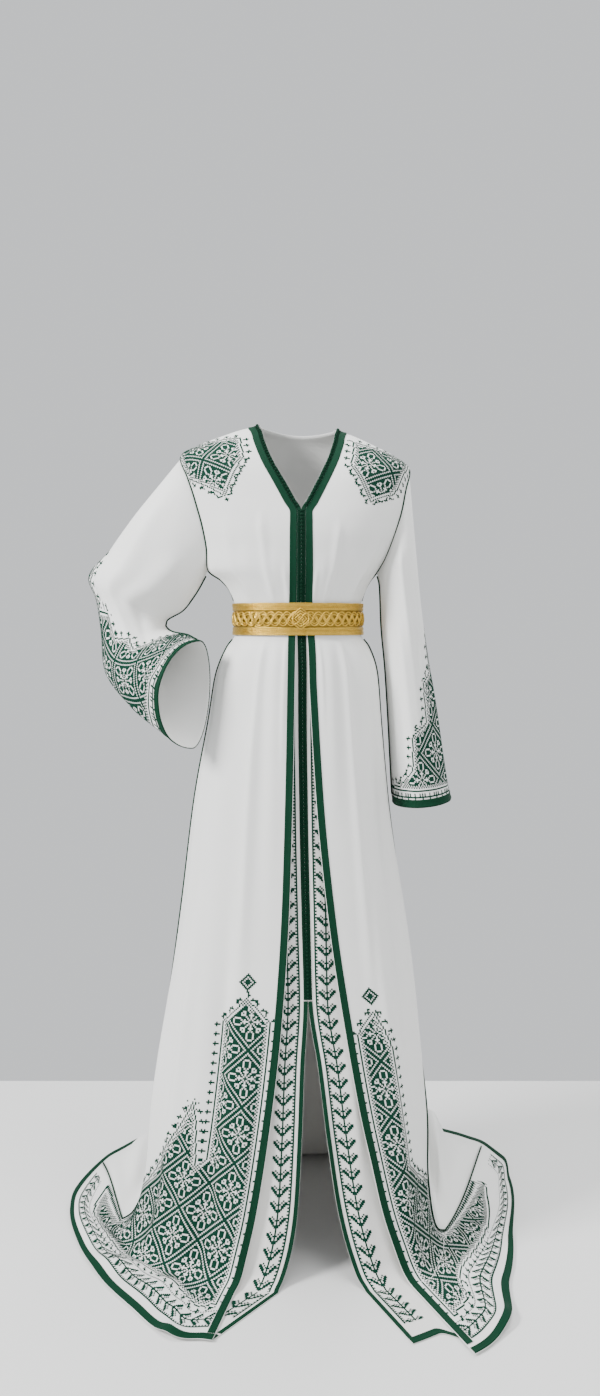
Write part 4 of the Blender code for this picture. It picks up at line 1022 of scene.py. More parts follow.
def panel_field(name, panel, outline, corner, cells, surface):
    """The large field of a front's skirt, between its upper outline and the leaf band."""
    i, j, across, down = chart_cells(corner, cells)
    shares = panel.from_edge(across, down)
    inside = shares[0] < FIELD_LIMIT
    mask = (down > straight(outline, OUTLINE_COLUMNS, across)) & inside
    mask &= (across > outline[0][0]) & (across < outline[-1][0])
    mask &= panel.above_hem(*shares) > FIELD_ABOVE_HEM
    chart = field_chart(mask)
    peak = min(outline[:PEAK_ROWS], key=lambda row: row[1])
    middle, crest = (int((peak[axis] - corner[axis]) / STITCH) for axis in range(2))
    above, reach, bare = 9, 5, 3
    away = np.abs(i - middle) + np.abs(j - crest + above)
    chart |= (away <= reach) & (away != bare)
    return stitches(name, chart_places(panel, corner, cells), chart & inside, surface, panel.turn)


def shoulder_field(name, panel, outline, surface):
    """The patch on a front's shoulder."""
    _, _, across, down = chart_cells(SHOULDER_CORNER, SHOULDER_CELLS)
    mask = np.ones(across.shape, dtype=bool)
    middle = np.mean(outline, axis=0)
    for first, second in zip(outline, outline[1:] + outline[:1]):
        def aside(x, y):
            return (second[0] - first[0]) * (y - first[1]) - (second[1] - first[1]) * (x - first[0])

        mask &= aside(across, down) * aside(*middle) > 0
    chart = field_chart(mask) & (panel.from_edge(across, down)[0] < SHOULDER_LIMIT)
    return stitches(name, chart_places(panel, SHOULDER_CORNER, SHOULDER_CELLS), chart, surface, panel.turn)


def hem_leaves(name, panel, along, surface):
    """The band of leaves along a front's hem."""
    columns = int((along[1] - along[0]) / STITCH)
    rows = int((LEAF_BAND[1] - LEAF_BAND[0]) / STITCH)

    def place(s, t):
        lengths = (along[0] + s * columns * STITCH, LEAF_BAND[1] - t * rows * STITCH)
        return on_panel(panel, panel.from_hem(*lengths))

    return stitches(name, place, leaf_chart(rows, columns, down=False)[::-1], surface, panel.turn)


def edge_leaves(name, panel, start, ends, surface):
    """The band of leaves beside a front edge, between two lengths down."""
    cells = (LEAF_COLUMNS, int((ends[1] - ends[0]) / STITCH))
    chart = leaf_chart(cells[1], cells[0])
    return stitches(name, chart_places(panel, (start, ends[0]), cells), chart, surface, panel.turn)


def sleeve_field(name, sleeve, profile, surface):
    """The field above a sleeve's cuff: profile gives its height for turns in degrees round the sleeve."""
    rows = int(SLEEVE_CHART_HEIGHT / STITCH)
    columns = 2 * int(sleeve.girth / STITCH / 2)
    j, i = np.mgrid[0:rows, 0:columns]
    turns = (i + 0.5) / columns * 360
    rise = (rows - j - 0.5) * STITCH
    high = straight(profile, SLEEVE_PROFILE_COLUMNS, turns)
    doubled = np.tile((rise < high) & (rise > SLEEVE_FIELD_FOOT), (1, 3))
    chart = field_chart(doubled)[:, columns:2 * columns]
    chart |= (rise > SLEEVE_LINE[0]) & (rise < SLEEVE_LINE[1])
    chart |= (rise > SLEEVE_DOTS[0]) & (rise < SLEEVE_DOTS[1]) & (i % 4 == 1)

    def place(s, t):
        return sleeve.points(s, 1 - (1 - t) * rows * STITCH / sleeve.length)

    return stitches(name, place, chart, surface, turn=sleeve.turn, around=True)


class Finish:
    """A new material and the nodes that shape its surface."""

    def __init__(self, name):
        self.material = bpy.data.materials.new(name)
        self.material.use_nodes = True
        tree = self.material.node_tree
        self.nodes, self.links = tree.nodes, tree.links
        self.shader = self.nodes["Principled BSDF"]
        coordinates = self.nodes.new("ShaderNodeTexCoord").outputs
        self.place, self.weave = coordinates["Object"], coordinates["UV"]

    def fill(self, node, inputs):
        """Link or set a node's inputs by name or number."""
        for name, value in inputs.items():
            if isinstance(value, bpy.types.NodeSocket):
                self.links.new(value, node.inputs[name])
            else:
                node.inputs[name].default_value = value
        return node.outputs

    def noise(self, scale, detail=3.0):
        """Noise over the garment."""
        node = self.nodes.new("ShaderNodeTexNoise")
        return self.fill(node, {"Scale": scale, "Detail": detail, "Vector": self.place})["Fac"]

    def ridges(self, vector, scale, direction, distortion):
        """Parallel threads along one direction of a vector."""
        node = self.nodes.new("ShaderNodeTexWave")
        node.bands_direction = direction
        return self.fill(node, {"Scale": scale, "Distortion": distortion, "Vector": vector})["Fac"]

    def product(self, first, second):
        """Two values multiplied."""
        node = self.nodes.new("ShaderNodeMath")
        node.operation = "MULTIPLY"
        return self.fill(node, {0: first, 1: second})["Value"]

    def mixed(self, factor, first, second):
        """A colour between two, by a factor."""
        node = self.nodes.new("ShaderNodeMix")
        node.data_type = "RGBA"
        return self.fill(node, {"Factor": factor, "A": (*first, 1.0), "B": (*second, 1.0)})["Result"]

    def toned(self, factor, colour, share):
        """A colour that darkens to a share of itself by a factor."""
        return self.mixed(factor, colour, [share * part for part in colour])

    def bump(self, height, strength, distance, **normal):
        """A bump of the surface by a height, over an earlier one where Normal is given."""
        inputs = {"Strength": strength, "Distance": distance, "Height": height, **normal}
        return self.fill(self.nodes.new("ShaderNodeBump"), inputs)["Normal"]

    def ranged(self, value, low, high):
        """A value from 0 to 1 moved into a range."""
        node = self.nodes.new("ShaderNodeMapRange")
        return self.fill(node, {"Value": value, "To Min": low, "To Max": high})["Result"]

    def done(self, inputs):
        """Fill the shader's inputs and hand over the material."""
        self.fill(self.shader, inputs)
        return self.material


def crepe_material(colours):
    """Matt white crepe: pebbled threads with a soft bloom and a slight change of tone."""
    made = Finish("ivory crepe")
    tone = made.noise(9.0)
    pebbles = made.bump(made.noise(1300.0, 2.0), 0.25, 0.0004)
    return made.done({
        "Base Color": made.toned(tone, colours.crepe, 0.93),
        "Roughness": made.ranged(tone, 0.52, 0.64),
        "Normal": made.bump(made.noise(60.0, 2.0), 0.25, 0.0012, Normal=pebbles),
        "Sheen Weight": 0.1,
        "Sheen Roughness": 0.4,
        "Specular IOR Level": 0.35,
    })


def satin_material(colours):
    """Smooth satin for the inner layer: fine warp threads and a brighter, softer gloss."""
    made = Finish("ivory satin")
    tone = made.noise(14.0)
    warp = made.bump(made.ridges(made.weave, 700.0, "X", 1.5), 0.06, 0.0003)
    return made.done({
        "Base Color": made.toned(tone, colours.satin, 0.9),
        "Roughness": made.ranged(tone, 0.26, 0.36),
        "Normal": made.bump(made.noise(45.0, 2.0), 0.35, 0.002, Normal=warp),
        "Sheen Weight": 0.15,
        "Anisotropic": 0.4,
    })


def thread_material(name, colour, brighter, direction, scale, sheen):
    """Silk thread worked close together, with painted shade that darkens it between its strands."""
    made = Finish(name)
    strands = made.ridges(made.weave, scale, direction, 0.8)
    patchy = made.noise(240.0)
    # The strands' crowns are painted lighter and the grooves between them darker: painted shade, with random
    # patches
    return made.done({
        "Base Color": made.mixed(made.product(strands, patchy), colour, colour * brighter),
        "Roughness": made.ranged(patchy, 0.6, 0.75),
        "Normal": made.bump(strands, 0.5, 0.0003),
        "Sheen Weight": sheen,
        "Sheen Roughness": 0.35,
        "Specular IOR Level": 0.12,
    })


def gold_material(name, colour):
    """Gold thread wound over cord: bright strands with browner hollows."""
    made = Finish(name)
    patchy = made.noise(180.0)
    return made.done({
        "Base Color": made.toned(patchy, colour, 0.62),
        "Roughness": made.ranged(patchy, 0.24, 0.40),
        "Normal": made.bump(made.ridges(made.place, 260.0, "DIAGONAL", 1.2), 0.6, 0.0005),
        "Metallic": 0.9,
    })


def studio_material(name, colour, roughness):
    """A plain studio surface."""
    made = Finish(name)
    return made.done({"Base Color": made.toned(made.noise(1.5), colour, 0.97), "Roughness": roughness})


def length(name, description, default):
    """A length in metres that the panel shows."""
    return bpy.props.FloatProperty(
        name=name, description=description, default=default, min=default / 3, max=default * 2, unit="LENGTH")


def colour(name, description, default):
    """A linear colour that the panel shows."""
    return bpy.props.FloatVectorProperty(
        name=name, description=description, default=default, min=0, max=1, size=3, subtype="COLOR")


class KaftanSizes(bpy.types.PropertyGroup):
    """Sizes that change how fine or how full the pieces are."""

    cloth: length("Cloth", "Thickness of the crepe", 0.0009)
    satin: length("Satin", "Thickness of the inner layer", 0.0006)
    cord: length("Cord", "Radius of the seams' cord", 0.0015)
    plait: length("Plait", "Radius of the belt's cords", 0.0013)


class KaftanColours(bpy.types.PropertyGroup):
    """Colours of the finishes."""

    crepe: colour("Crepe", "Cloth of the outer layer", (0.84, 0.84, 0.82))
    satin: colour("Satin", "Cloth of the inner layer", (0.80, 0.79, 0.76))
    green: colour("Green", "Silk of the braids", (0.0002, 0.022, 0.0095))
    thread: colour("Thread", "Silk of the embroidery", (0.0002, 0.026, 0.014))
    gold: colour("Gold", "Thread of the belt", (0.86, 0.56, 0.09))
    floor: colour("Floor", "Studio floor", (0.78, 0.78, 0.77))


FINISHES = {}
PANELS = {}
SIDES = ((-1, "right"), (1, "left"))


def finish_of(name):
    """A finish, made when it is first asked for."""
    colours = bpy.context.scene.kaftan_colours
    if not FINISHES:
        green, thread, gold = (np.array(one) for one in (colours.green, colours.thread, colours.gold))
        FINISHES.update(
            crepe=crepe_material(colours),
            satin=satin_material(colours),
            braid=thread_material("green braid", green, 2.6, "DIAGONAL", 260.0, 0.03),
            cord=thread_material("green cord", green, 2.2, "X", 300.0, 0.0),
            embroidery=thread_material("green embroidery", thread, 2.2, "X", 500.0, 0.0),
            gold=gold_material("gold cordwork", gold),
            # A darker copy of the gold: painted shade for the belt's band and the knot's dome under the cords
            gold_ground=gold_material("gold painted shade", gold * 0.5),
        )
    return FINISHES[name]


def panel_of(name):
    """A panel of the cut, worked out when it is first asked for."""
    if not PANELS:
        for side, word in SIDES:
            PANELS[f"front_{word}"] = front_panel(side)
            PANELS[f"inner_{word}"] = inner_front_panel(side)
        PANELS["back"] = back_panel()
        PANELS["inner_back"] = inner_back_panel()
        PANELS["sleeve_right"] = Sleeve(-1, BENT_SLEEVE, BENT_CREASES)
        PANELS["sleeve_left"] = Sleeve(1, HANGING_SLEEVE, HANGING_CREASES)
    return PANELS[name]


def braid_sides(panel):
    """Where the front braid's two sides lie from the edge, at shares down."""
    def sides(down):
        level = np.interp(down * (len(panel.rows) - 1), np.arange(len(panel.rows)), panel.rows[:, 1])
        narrow = (BELOW_BELT_BRAID_INSET - LOOP_EDGE_WIDTH) * ease((level - BELT_TOP) / 2)
        near = LOOP_EDGE_WIDTH + np.where(level > BELT_TOP, narrow, 0.0)
        return near, near + BRAID_WIDTH
    return sides


# Lengths of the inner hem's braids and round the back of the neck
INNER_HEM_LENGTH = 0.12
NECK_LENGTH = 0.3


def bed_sides(_):
    """Where the ground of the knotted edge lies from the edge."""
    return TINY_GAP, LOOP_EDGE_WIDTH - TINY_GAP


def slit_sides(_):
    """Where the slit's braid lies from the edge."""
    return SMALL_GAP, LOOP_EDGE_WIDTH


class KAFTAN_OT_outer_cloth(bpy.types.Operator):
    """Drape the outer fronts and the back"""

    bl_idname = "kaftan.outer_cloth"
    bl_label = "Outer Cloth"

    def execute(self, context):
        """Make each panel as a thin sheet."""
        thickness = context.scene.kaftan_sizes.cloth
        crepe = finish_of("crepe")
        for _, word in SIDES:
            name = f"front_{word}"
            panel = panel_of(name)
            piece = cloth_piece(f"{name}_cloth", panel, FRONT_FACES, crepe, (name,), thickness)
        panel = panel_of("back")
        nodes = ("back_bodice", "back_skirt")
        piece = cloth_piece("back_cloth", panel, BACK_FACES, crepe, nodes, thickness)
        return {"FINISHED"}


class KAFTAN_OT_inner_cloth(bpy.types.Operator):
    """Hang the inner skirt layer"""

    bl_idname = "kaftan.inner_cloth"
    bl_label = "Inner Cloth"

    def execute(self, context):
        """Make each panel of the inner layer as a thin satin sheet."""
        thickness = context.scene.kaftan_sizes.satin
        satin = finish_of("satin")
        for _, word in SIDES:
            panel = panel_of(f"inner_{word}")
            name = f"inner_front_{word}"
            piece = cloth_piece(
                f"{name}_cloth", panel, INNER_FRONT_FACES, satin, (name,), thickness)
        name = "inner_back"
        panel = panel_of(name)
        piece = cloth_piece(
            f"{name}_cloth", panel, INNER_BACK_FACES, satin, (name,), thickness)
        return {"FINISHED"}


class KAFTAN_OT_sleeves(bpy.types.Operator):
    """Drape the bent and the hanging sleeve with their cuff braids"""

    bl_idname = "kaftan.sleeves"
    bl_label = "Sleeves"

    def execute(self, context):
        """Make each sleeve as a thin tube, and a woven band round its cuff."""
        for _, word in SIDES:
            sleeve = panel_of(f"sleeve_{word}")
            bm, across, down = new_grid(*SLEEVE_FACES)
            place_points(bm, sleeve.points(across, down))
            size = (sleeve.girth, sleeve.length)
            piece = make_piece(
                f"sleeve_{word}_cloth", bm, finish_of("crepe"), (f"sleeve_{word}",),
                size=size, turn=sleeve.turn, around=True)
            give_thickness(piece, context.scene.kaftan_sizes.cloth)
            bm, across, down = new_grid(CUFF_FACES, BRAID_FACES)
            share = HEM_BRAID_WIDTH / sleeve.length
            points = sleeve.points(across, 1 - share * (1 - down))
            lift = braid_relief(down, across * sleeve.girth) + TINY_GAP
            place_points(bm, points + facing_of(points, sleeve.turn, True) * lift[..., None])
            make_piece(
                f"cuff_braid_{word}_weave", bm, finish_of("braid"), (f"cuff_braid_{word}",),
                size=(sleeve.girth, HEM_BRAID_WIDTH), turn=sleeve.turn, around=True)
        return {"FINISHED"}


class KAFTAN_OT_braids(bpy.types.Operator):
    """Lay the woven braids on the edges, the neck and the hems"""

    bl_idname = "kaftan.braids"
    bl_label = "Braids"

    def execute(self, context):
        """Make each braid on the panel that carries it."""
        braid, cord = finish_of("braid"), finish_of("cord")
        bed_step = 0.004
        for _, word in SIDES:
            panel = panel_of(f"front_{word}")
            ends = (TINY_GAP, panel.length - HEM_BRAID_WIDTH - GAP)
            strip_piece(
                f"edge_braid_{word}_weave", panel, braid_sides(panel), ends, braid, (f"edge_braid_{word}",))
            ends = (TINY_GAP, panel.length_at(BELT_TOP))
            strip_piece(
                f"loop_bed_{word}", panel, bed_sides, ends, cord, step=bed_step, columns=LOOP_BED_FACES)
            width = panel.across_lengths[-1, -1]
            hem_piece(f"hem_braid_{word}_weave", panel, width, braid, (f"hem_braid_{word}",))
            inner = panel_of(f"inner_{word}")
            start = inner.length_at(SLIT_TOP)
            ends = (0.0005, start)
            strip_piece(
                f"inner_loop_bed_{word}", inner, bed_sides, ends, cord, step=bed_step, columns=LOOP_BED_FACES)
            ends = (start + SLIT_BRAID_DROP, inner.length - HEM_BRAID_WIDTH - GAP)
            strip_piece(f"slit_braid_{word}_weave", inner, slit_sides, ends, braid, (f"slit_braid_{word}",),
                        columns=SLIT_BRAID_FACES)
            hem_piece(
                f"inner_hem_braid_{word}_weave", inner, INNER_HEM_LENGTH, braid, (f"inner_hem_braid_{word}",))
        back = panel_of("back")
        width = back.across_lengths[-1, -1]
        hem_piece("hem_braid_back_weave", back, width, braid, ("hem_braid_back",), step=0.002)
        bm, across, down = new_grid(NECK_FACES, BRAID_FACES)
        lift = braid_relief(down, across * back.across_lengths[0, -1]) + TINY_GAP
        place_points(bm, on_panel(back, (across, back.down_at(SMALL_GAP + BRAID_WIDTH * down)), lift))
        make_piece("neck_braid_back_weave", bm, braid, ("neck_braid_back",),
                   size=(NECK_LENGTH, BRAID_WIDTH), turn=back.turn)
        return {"FINISHED"}


# The knots: radius of a button, half-widths of a knot on the front and at the neck, steps of the path
# to a button, and steps left free at both ends
KNOT_RADIUS = 0.0026
FRONT_KNOT = 0.0082
NECK_KNOT = 0.0060
KNOT_STEPS = 8
KNOT_TRIM = 4


def knot_unit(half_width, bars):
    """One knotted button with the loops that hold it: its own X runs across the column."""
    bm = new_mesh()
    ball = bmesh.ops.create_uvsphere(bm, u_segments=8, v_segments=5, radius=KNOT_RADIUS)
    bmesh.ops.scale(bm, vec=(1.0, 1.05, 0.95), verts=ball["verts"])
    bmesh.ops.translate(bm, vec=(0, 0, KNOT_RADIUS), verts=ball["verts"])
    bar_size, bar_middle = (half_width * 0.36, 0.0013, 0.0011), half_width * 0.64
    lean, row_half, bar_height = 0.18, 0.0017, 0.0012
    for side in bars:
        for row in (-1, 1):
            bar = bmesh.ops.create_uvsphere(bm, u_segments=6, v_segments=4, radius=1.0)
            bmesh.ops.scale(bm, vec=bar_size, verts=bar["verts"])
            slant = Matrix.Rotation(side * row * lean, 3, "Z")
            bmesh.ops.rotate(bm, cent=(0, 0, 0), matrix=slant, verts=bar["verts"])
            place = (side * bar_middle, row * row_half, bar_height)
            bmesh.ops.translate(bm, vec=place, verts=bar["verts"])
    mesh = bpy.data.meshes.new("knot")
    bm.to_mesh(mesh)
    bm.free()
    return mesh


def knots_piece(name, points, normals, half_width, bars, nodes):
    """A row of knotted buttons along a line on the cloth."""
    path, outward = even_path(points, normals, BUTTON_PITCH / KNOT_STEPS)
    unit = knot_unit(half_width, bars)
    bm = new_mesh()
    places = slice(KNOT_TRIM, -KNOT_TRIM, KNOT_STEPS)
    ahead = np.gradient(path, axis=0)
    for place, out, along in zip(path[places], outward[places], ahead[places]):
        add_unit(bm, unit, place, out, along)
    bpy.data.meshes.remove(unit)
    return make_piece(name, bm, finish_of("cord"), nodes)


class KAFTAN_OT_buttons(bpy.types.Operator):
    """Sew the column of knotted buttons and the knotted neck edge"""

    bl_idname = "kaftan.buttons"
    bl_label = "Buttons"

    def execute(self, context):
        """Set knots at each pitch down the front and along both sides of the neck."""
        inner_x = read(INNER_EDGE, EDGE_COLUMNS, "level", "right", np.linspace(BELT_FOOT, SLIT_TOP, 300))
        columns = (
            ("upper", FRONT_EDGE[0][0], BELT_TOP, np.full(200, FRONT_EDGE[0][1]), False),
            ("lower", BELT_FOOT, SLIT_TOP, inner_x, True),
        )
        for part, first, last, x, inner in columns:
            levels = np.linspace(first, last, len(x))
            angle = angle_at(x, levels, inner)
            points = body_points(angle, levels, inner)
            normals = cloth_normals(angle, levels, inner)
            name = f"buttons_{part}"
            knots_piece(f"{name}_knots", points, normals, FRONT_KNOT, (-1, 1), (name,))
        for side, word in SIDES:
            panel = panel_of(f"front_{word}")
            end = panel.length_at(FRONT_EDGE[0][0])
            across, down = np.meshgrid((0.001, 0.0042, 0.0078), np.linspace(0.002, end - 0.004, 160))
            grid = panel.points(*panel.from_edge(across, down))
            normals = -facing_of(grid, panel.turn)[:, 1]
            name = f"neck_loops_{word}"
            knots_piece(f"{name}_knots", grid[:, 1], normals, NECK_KNOT, (side,), (name,))
        return {"FINISHED"}


def cloth_normals(angle, level, inner=False, turn=0.4, rise=0.04):
    """Outward directions at places of the body, from steps of a turn in degrees and a rise in levels."""
    across = body_points(angle + turn, level, inner) - body_points(angle - turn, level, inner)
    down = body_points(angle, level + rise, inner) - body_points(angle, level - rise, inner)
    normals = np.cross(down, across)
    return normals / np.linalg.norm(normals, axis=-1, keepdims=True)


def waist_normals(angle, level):
    """Outward directions at places of the waist."""
    return cloth_normals(angle, level, turn=0.6, rise=0.06)


class KAFTAN_OT_piping(bpy.types.Operator):
    """Run thin cord along the armholes, the side seams and the sleeves' underseams"""

    bl_idname = "kaftan.piping"
    bl_label = "Seam Cords"

    def execute(self, context):
        """Make each cord along its own seam."""
        radius = context.scene.kaftan_sizes.cord
        for side, word in SIDES:
            sleeve = panel_of(f"sleeve_{word}")
            loop = np.concatenate((sleeve.loop, sleeve.loop[:1]))
            middle = loop.mean(axis=0)
            outward = loop - middle
            outward[:, 0] += side * 0.05
            seam_cord(f"armhole_piping_{word}_cord", loop, outward, radius, (f"armhole_piping_{word}",), True)
            lowest = 1 - HEM_BRAID_WIDTH / sleeve.length - 0.004
            grid = sleeve.points(*np.meshgrid((0.49, 0.5, 0.51), np.linspace(0.05, lowest, 160)))
            normals = -facing_of(grid, sleeve.turn)[:, 1]
            seam_cord(f"sleeve_piping_{word}_cord", grid[:, 1], normals, radius, (f"sleeve_piping_{word}",))
            grid = sleeve.points(*np.meshgrid(np.linspace(0, 1, 121), (1.0, 0.994, 0.988)))
            normals = facing_of(grid, sleeve.turn, True)[0]
            edge = 0.001
            seam_cord(f"cuff_edge_{word}_cord", grid[0] - normals * edge, normals, edge, (), True)
            stretches = (("bodice", UNDERARM, BELT_TOP - 0.2), ("side", BELT_FOOT + 0.4, HEM - 0.35))
            for part, first, last in stretches:
                levels = np.linspace(first, last, 400)
                angle = side_angle(side, levels)
                points = body_points(angle, levels)
                normals = cloth_normals(angle, levels)
                seam_cord(f"{part}_piping_{word}_cord", points, normals, radius, (f"{part}_piping_{word}",))
        return {"FINISHED"}


def seam_cord(name, points, normals, radius, nodes, closed=False):
    """A thin cord that lies on a seam."""
    normals = normals / np.linalg.norm(normals, axis=1, keepdims=True)
    path, outward = even_path(points, normals, 0.003, closed)
    bm = new_mesh()
    cord_mesh(bm, path + outward * radius, outward, radius, 7, closed)
    return make_piece(name, bm, finish_of("cord"), nodes)


# How high the sleeves' embroidery stands over the cuff, for turns in degrees from the upper line
SLEEVE_PROFILE_COLUMNS = ("turn", "height")
BENT_PROFILE = (
    (0, 0.335), (24, 0.29), (30, 0.24), (58, 0.24), (64, 0.20), (96, 0.19), (102, 0.15), (140, 0.14),
    (180, 0.11), (240, 0.13), (300, 0.20), (340, 0.29), (360, 0.335),
)
HANGING_PROFILE = (
    (0, 0.320), (28, 0.30), (34, 0.25), (62, 0.235), (68, 0.16), (104, 0.14), (110, 0.07), (140, 0.04),
    (180, 0.035), (240, 0.06), (300, 0.15), (330, 0.26), (360, 0.320),
)


class KAFTAN_OT_embroidery(bpy.types.Operator):
    """Work the green counted embroidery"""

    bl_idname = "kaftan.embroidery"
    bl_label = "Embroidery"

    def execute(self, context):
        """Work the fields of the skirt, shoulders and sleeves, and the bands of leaves."""
        thread = finish_of("embroidery")
        right, left = panel_of("front_right"), panel_of("front_left")
        panel_field("field_right", right, FIELD_RIGHT, (0.003, 1.100), (190, 215), thread)
        panel_field("field_left", left, FIELD_LEFT, (0.003, 1.110), (165, 215), thread)
        shoulder_field("shoulder_right", right, SHOULDER_RIGHT_PATCH, thread)
        shoulder_field("shoulder_left", left, SHOULDER_LEFT_PATCH, thread)
        hem_leaves("hem_leaves_right", right, (0.018, right.across_lengths[-1, -1] - 0.03), thread)
        hem_leaves("hem_leaves_left", left, (0.018, left.across_lengths[-1, -1] - 0.03), thread)
        for _, word in SIDES:
            inner = panel_of(f"inner_{word}")
            edge_leaves(f"inner_leaves_{word}", inner, 0.0145, (0.075, inner.length - 0.055), thread)
        sleeve_field("sleeve_field_right", panel_of("sleeve_right"), BENT_PROFILE, thread)
        sleeve_field("sleeve_field_left", panel_of("sleeve_left"), HANGING_PROFILE, thread)
        return {"FINISHED"}


# The belt: length round the waist, height, faces round and up it, and where its border starts from
# its middle as a share of its height
BELT_GIRTH = 0.74
BELT_HEIGHT = 0.057
BELT_FACES = (360, 36)
BELT_BORDER = 0.24
# The plait: places round it, waves, strands, how far each is split into two cords, and the height of
# the waves
PLAIT_PLACES = 541
PLAIT_WAVES = 15
PLAIT_STRANDS = 3
PLAIT_SPLIT = 0.035
PLAIT_HEIGHT = 0.17
# Shares of the height at which straight cords run along both borders
BORDER_CORDS = (0.02, 0.06, 0.10, 0.14, 0.18, 0.22, 0.78, 0.82, 0.86, 0.90, 0.94, 0.98)
# The knot: faces of its dome, places of a cord, sizes of its rounds as shares, and their power
KNOT_FACES = 28
KNOT_PLACES = 90
KNOT_ROUNDS = (0.94, 0.70, 0.46, 0.22)
KNOT_POWER = 1.75
KNOT_LOOP = 0.62


def belt_place(across, share, out):
    """Points of the belt: shares round it and up it, and how far they stand out."""
    angle = -180 + 360 * across
    level = BELT_FOOT + (BELT_TOP - BELT_FOOT) * share
    points = body_points(angle, level)
    return points + waist_normals(angle, level) * (BELT_OFFSET + out)[..., None]


class KAFTAN_OT_belt(bpy.types.Operator):
    """Make the gold belt with its plaited cords and its knot"""

    bl_idname = "kaftan.belt"
    bl_label = "Belt"

    def execute(self, context):
        """Make the ridged band, the plait on its middle, and the woven diamond in front."""
        gold = finish_of("gold")
        radius = context.scene.kaftan_sizes.plait
        # ground is the darker gold: painted shade on the band under the plait
        ground = finish_of("gold_ground")
        bm, across, down = new_grid(*BELT_FACES)
        share = 1 - down
        twist = 0.00035 * np.cos(2 * math.pi * (across * BELT_GIRTH / 0.0042 + share * 9))
        bed = -0.0030 + 0.0002 * np.cos(2 * math.pi * share * 22)
        relief = np.where(np.abs(share - 0.5) > BELT_BORDER, twist, bed)
        out = straight(BELT_PROFILE, BELT_PROFILE_COLUMNS, share)
        place_points(bm, belt_place(across, share, out + relief))
        piece = make_piece(
            "belt_band", bm, ground, ("belt",), size=(BELT_GIRTH, BELT_HEIGHT), around=True)
        give_thickness(piece, 0.0015)
        bm = new_mesh()
        turns = np.linspace(0, 1, PLAIT_PLACES)
        normals = waist_normals(-180 + 360 * turns, np.full(turns.shape, float(WAIST)))
        for strand in range(PLAIT_STRANDS):
            phase = 2 * math.pi * (turns * PLAIT_WAVES + strand / PLAIT_STRANDS)
            for split in (-PLAIT_SPLIT, PLAIT_SPLIT):
                height = 0.5 + PLAIT_HEIGHT * np.sin(phase) + split
                path = belt_place(turns, height, 0.0028 + 0.0013 * np.cos(2 * phase))
                ring_cord(bm, path, normals, radius, 6)
        ring = turns[::2]
        for share in BORDER_CORDS:
            out = float(straight(BELT_PROFILE, BELT_PROFILE_COLUMNS, share)) - TINY_GAP
            path = belt_place(ring, np.full(ring.shape, share), np.full(ring.shape, out))
            ring_cord(bm, path, normals[::2], 0.0011, 5)
        make_piece("belt_plait", bm, gold)
        make_belt_knot(gold, ground, radius)
        return {"FINISHED"}


def make_belt_knot(gold, ground, radius):
    """The woven diamond: a low dome in the darker gold that is painted shade, with rounds of cord on it and
    two crossing loops.
    """
    waist = float(WAIST)
    centre = float(angle_at(DIAMOND_CENTRE, waist))
    middle = body_points(centre, waist)
    facing = waist_normals(np.array([centre]), np.array([waist]))[0]

    def place(u, v, out):
        angle = angle_at(DIAMOND_CENTRE + u * DIAMOND_HALF_WIDTH, np.full(np.shape(u), waist))
        points = body_points(angle, waist)
        points[..., 2] = middle[2] + v * DIAMOND_HALF_HEIGHT
        return points + facing * (BELT_OFFSET + DIAMOND_LIFT + out)[..., None]

    def cord(u, v, out):
        ring_cord(bm, place(u, v, out), np.tile(facing, (KNOT_PLACES, 1)), radius, 7)

    bm, across, down = new_grid(KNOT_FACES, KNOT_FACES)
    u, v = 2 * across - 1, 1 - 2 * down
    span = np.maximum(np.abs(u), np.abs(v)) / np.maximum(np.abs(u) + np.abs(v), 1e-9)
    u, v = u * span, v * span
    place_points(bm, place(u, v, 0.0030 * (1 - np.minimum(np.abs(u) + np.abs(v), 1.0) ** 2)))
    # The dome takes the darker gold: painted shade under the knot's cords
    dome = make_piece("belt_knot_dome", bm, ground, ("belt_knot",), size=(0.05, 0.04))
    give_thickness(dome, 0.001)
    bm = new_mesh()
    turns = np.linspace(0, 2 * math.pi, KNOT_PLACES)
    wide, high = (np.sign(way) * np.abs(way) ** KNOT_POWER for way in (np.cos(turns), np.sin(turns)))
    for share in KNOT_ROUNDS:
        cord(share * wide, share * high, 0.0034 * (1 - share ** 2) + 0.0006 + 0.0005 * np.cos(8 * turns))
    for turn in (-1, 1):
        u = KNOT_LOOP * np.sin(turns)
        v = turn * KNOT_LOOP * np.sin(2 * turns) * 0.8
        cord(u, v, 0.0044 * (1 - 0.4 * u ** 2) + 0.0008 * turn * np.cos(turns))
    make_piece("belt_knot_cords", bm, gold)


# The floor ends where it meets the wall in the photo
FLOOR_SIZE = (3.2, 2.4, 1)
FLOOR_MIDDLE = (0, -0.55, -SHOULDER_HEIGHT - 0.0002)
# The camera, worked out from the photo of 600 by 1396 pixels
PHOTO_WIDTH = 600
PHOTO_HEIGHT = 1396
FOCAL_PIXELS = 1050
HORIZON_PIXEL = 625
CAMERA_ACROSS = 0.011
CAMERA_DISTANCE = 2.1
CAMERA_HEIGHT = 1.194
SENSOR_WIDTH = 36.0
# Colour and strength of the sky, then the lights: name, place, where it points, size and power
SKY_COLOUR = (0.86, 0.88, 0.90, 1.0)
SKY_STRENGTH = 0.95
LIGHTS = (
    ("key", (-3.0, -1.6, 1.5), (0, 0, -0.6), 1.0, 260.0),
    ("fill", (2.6, -2.6, 0.4), (0, 0, -0.8), 2.2, 40.0),
    ("top", (0.6, -0.4, 2.6), (0, 0, -0.8), 1.8, 90.0),
    ("rim", (1.6, 2.4, 1.0), (0, 0, -0.7), 1.4, 30.0),
)


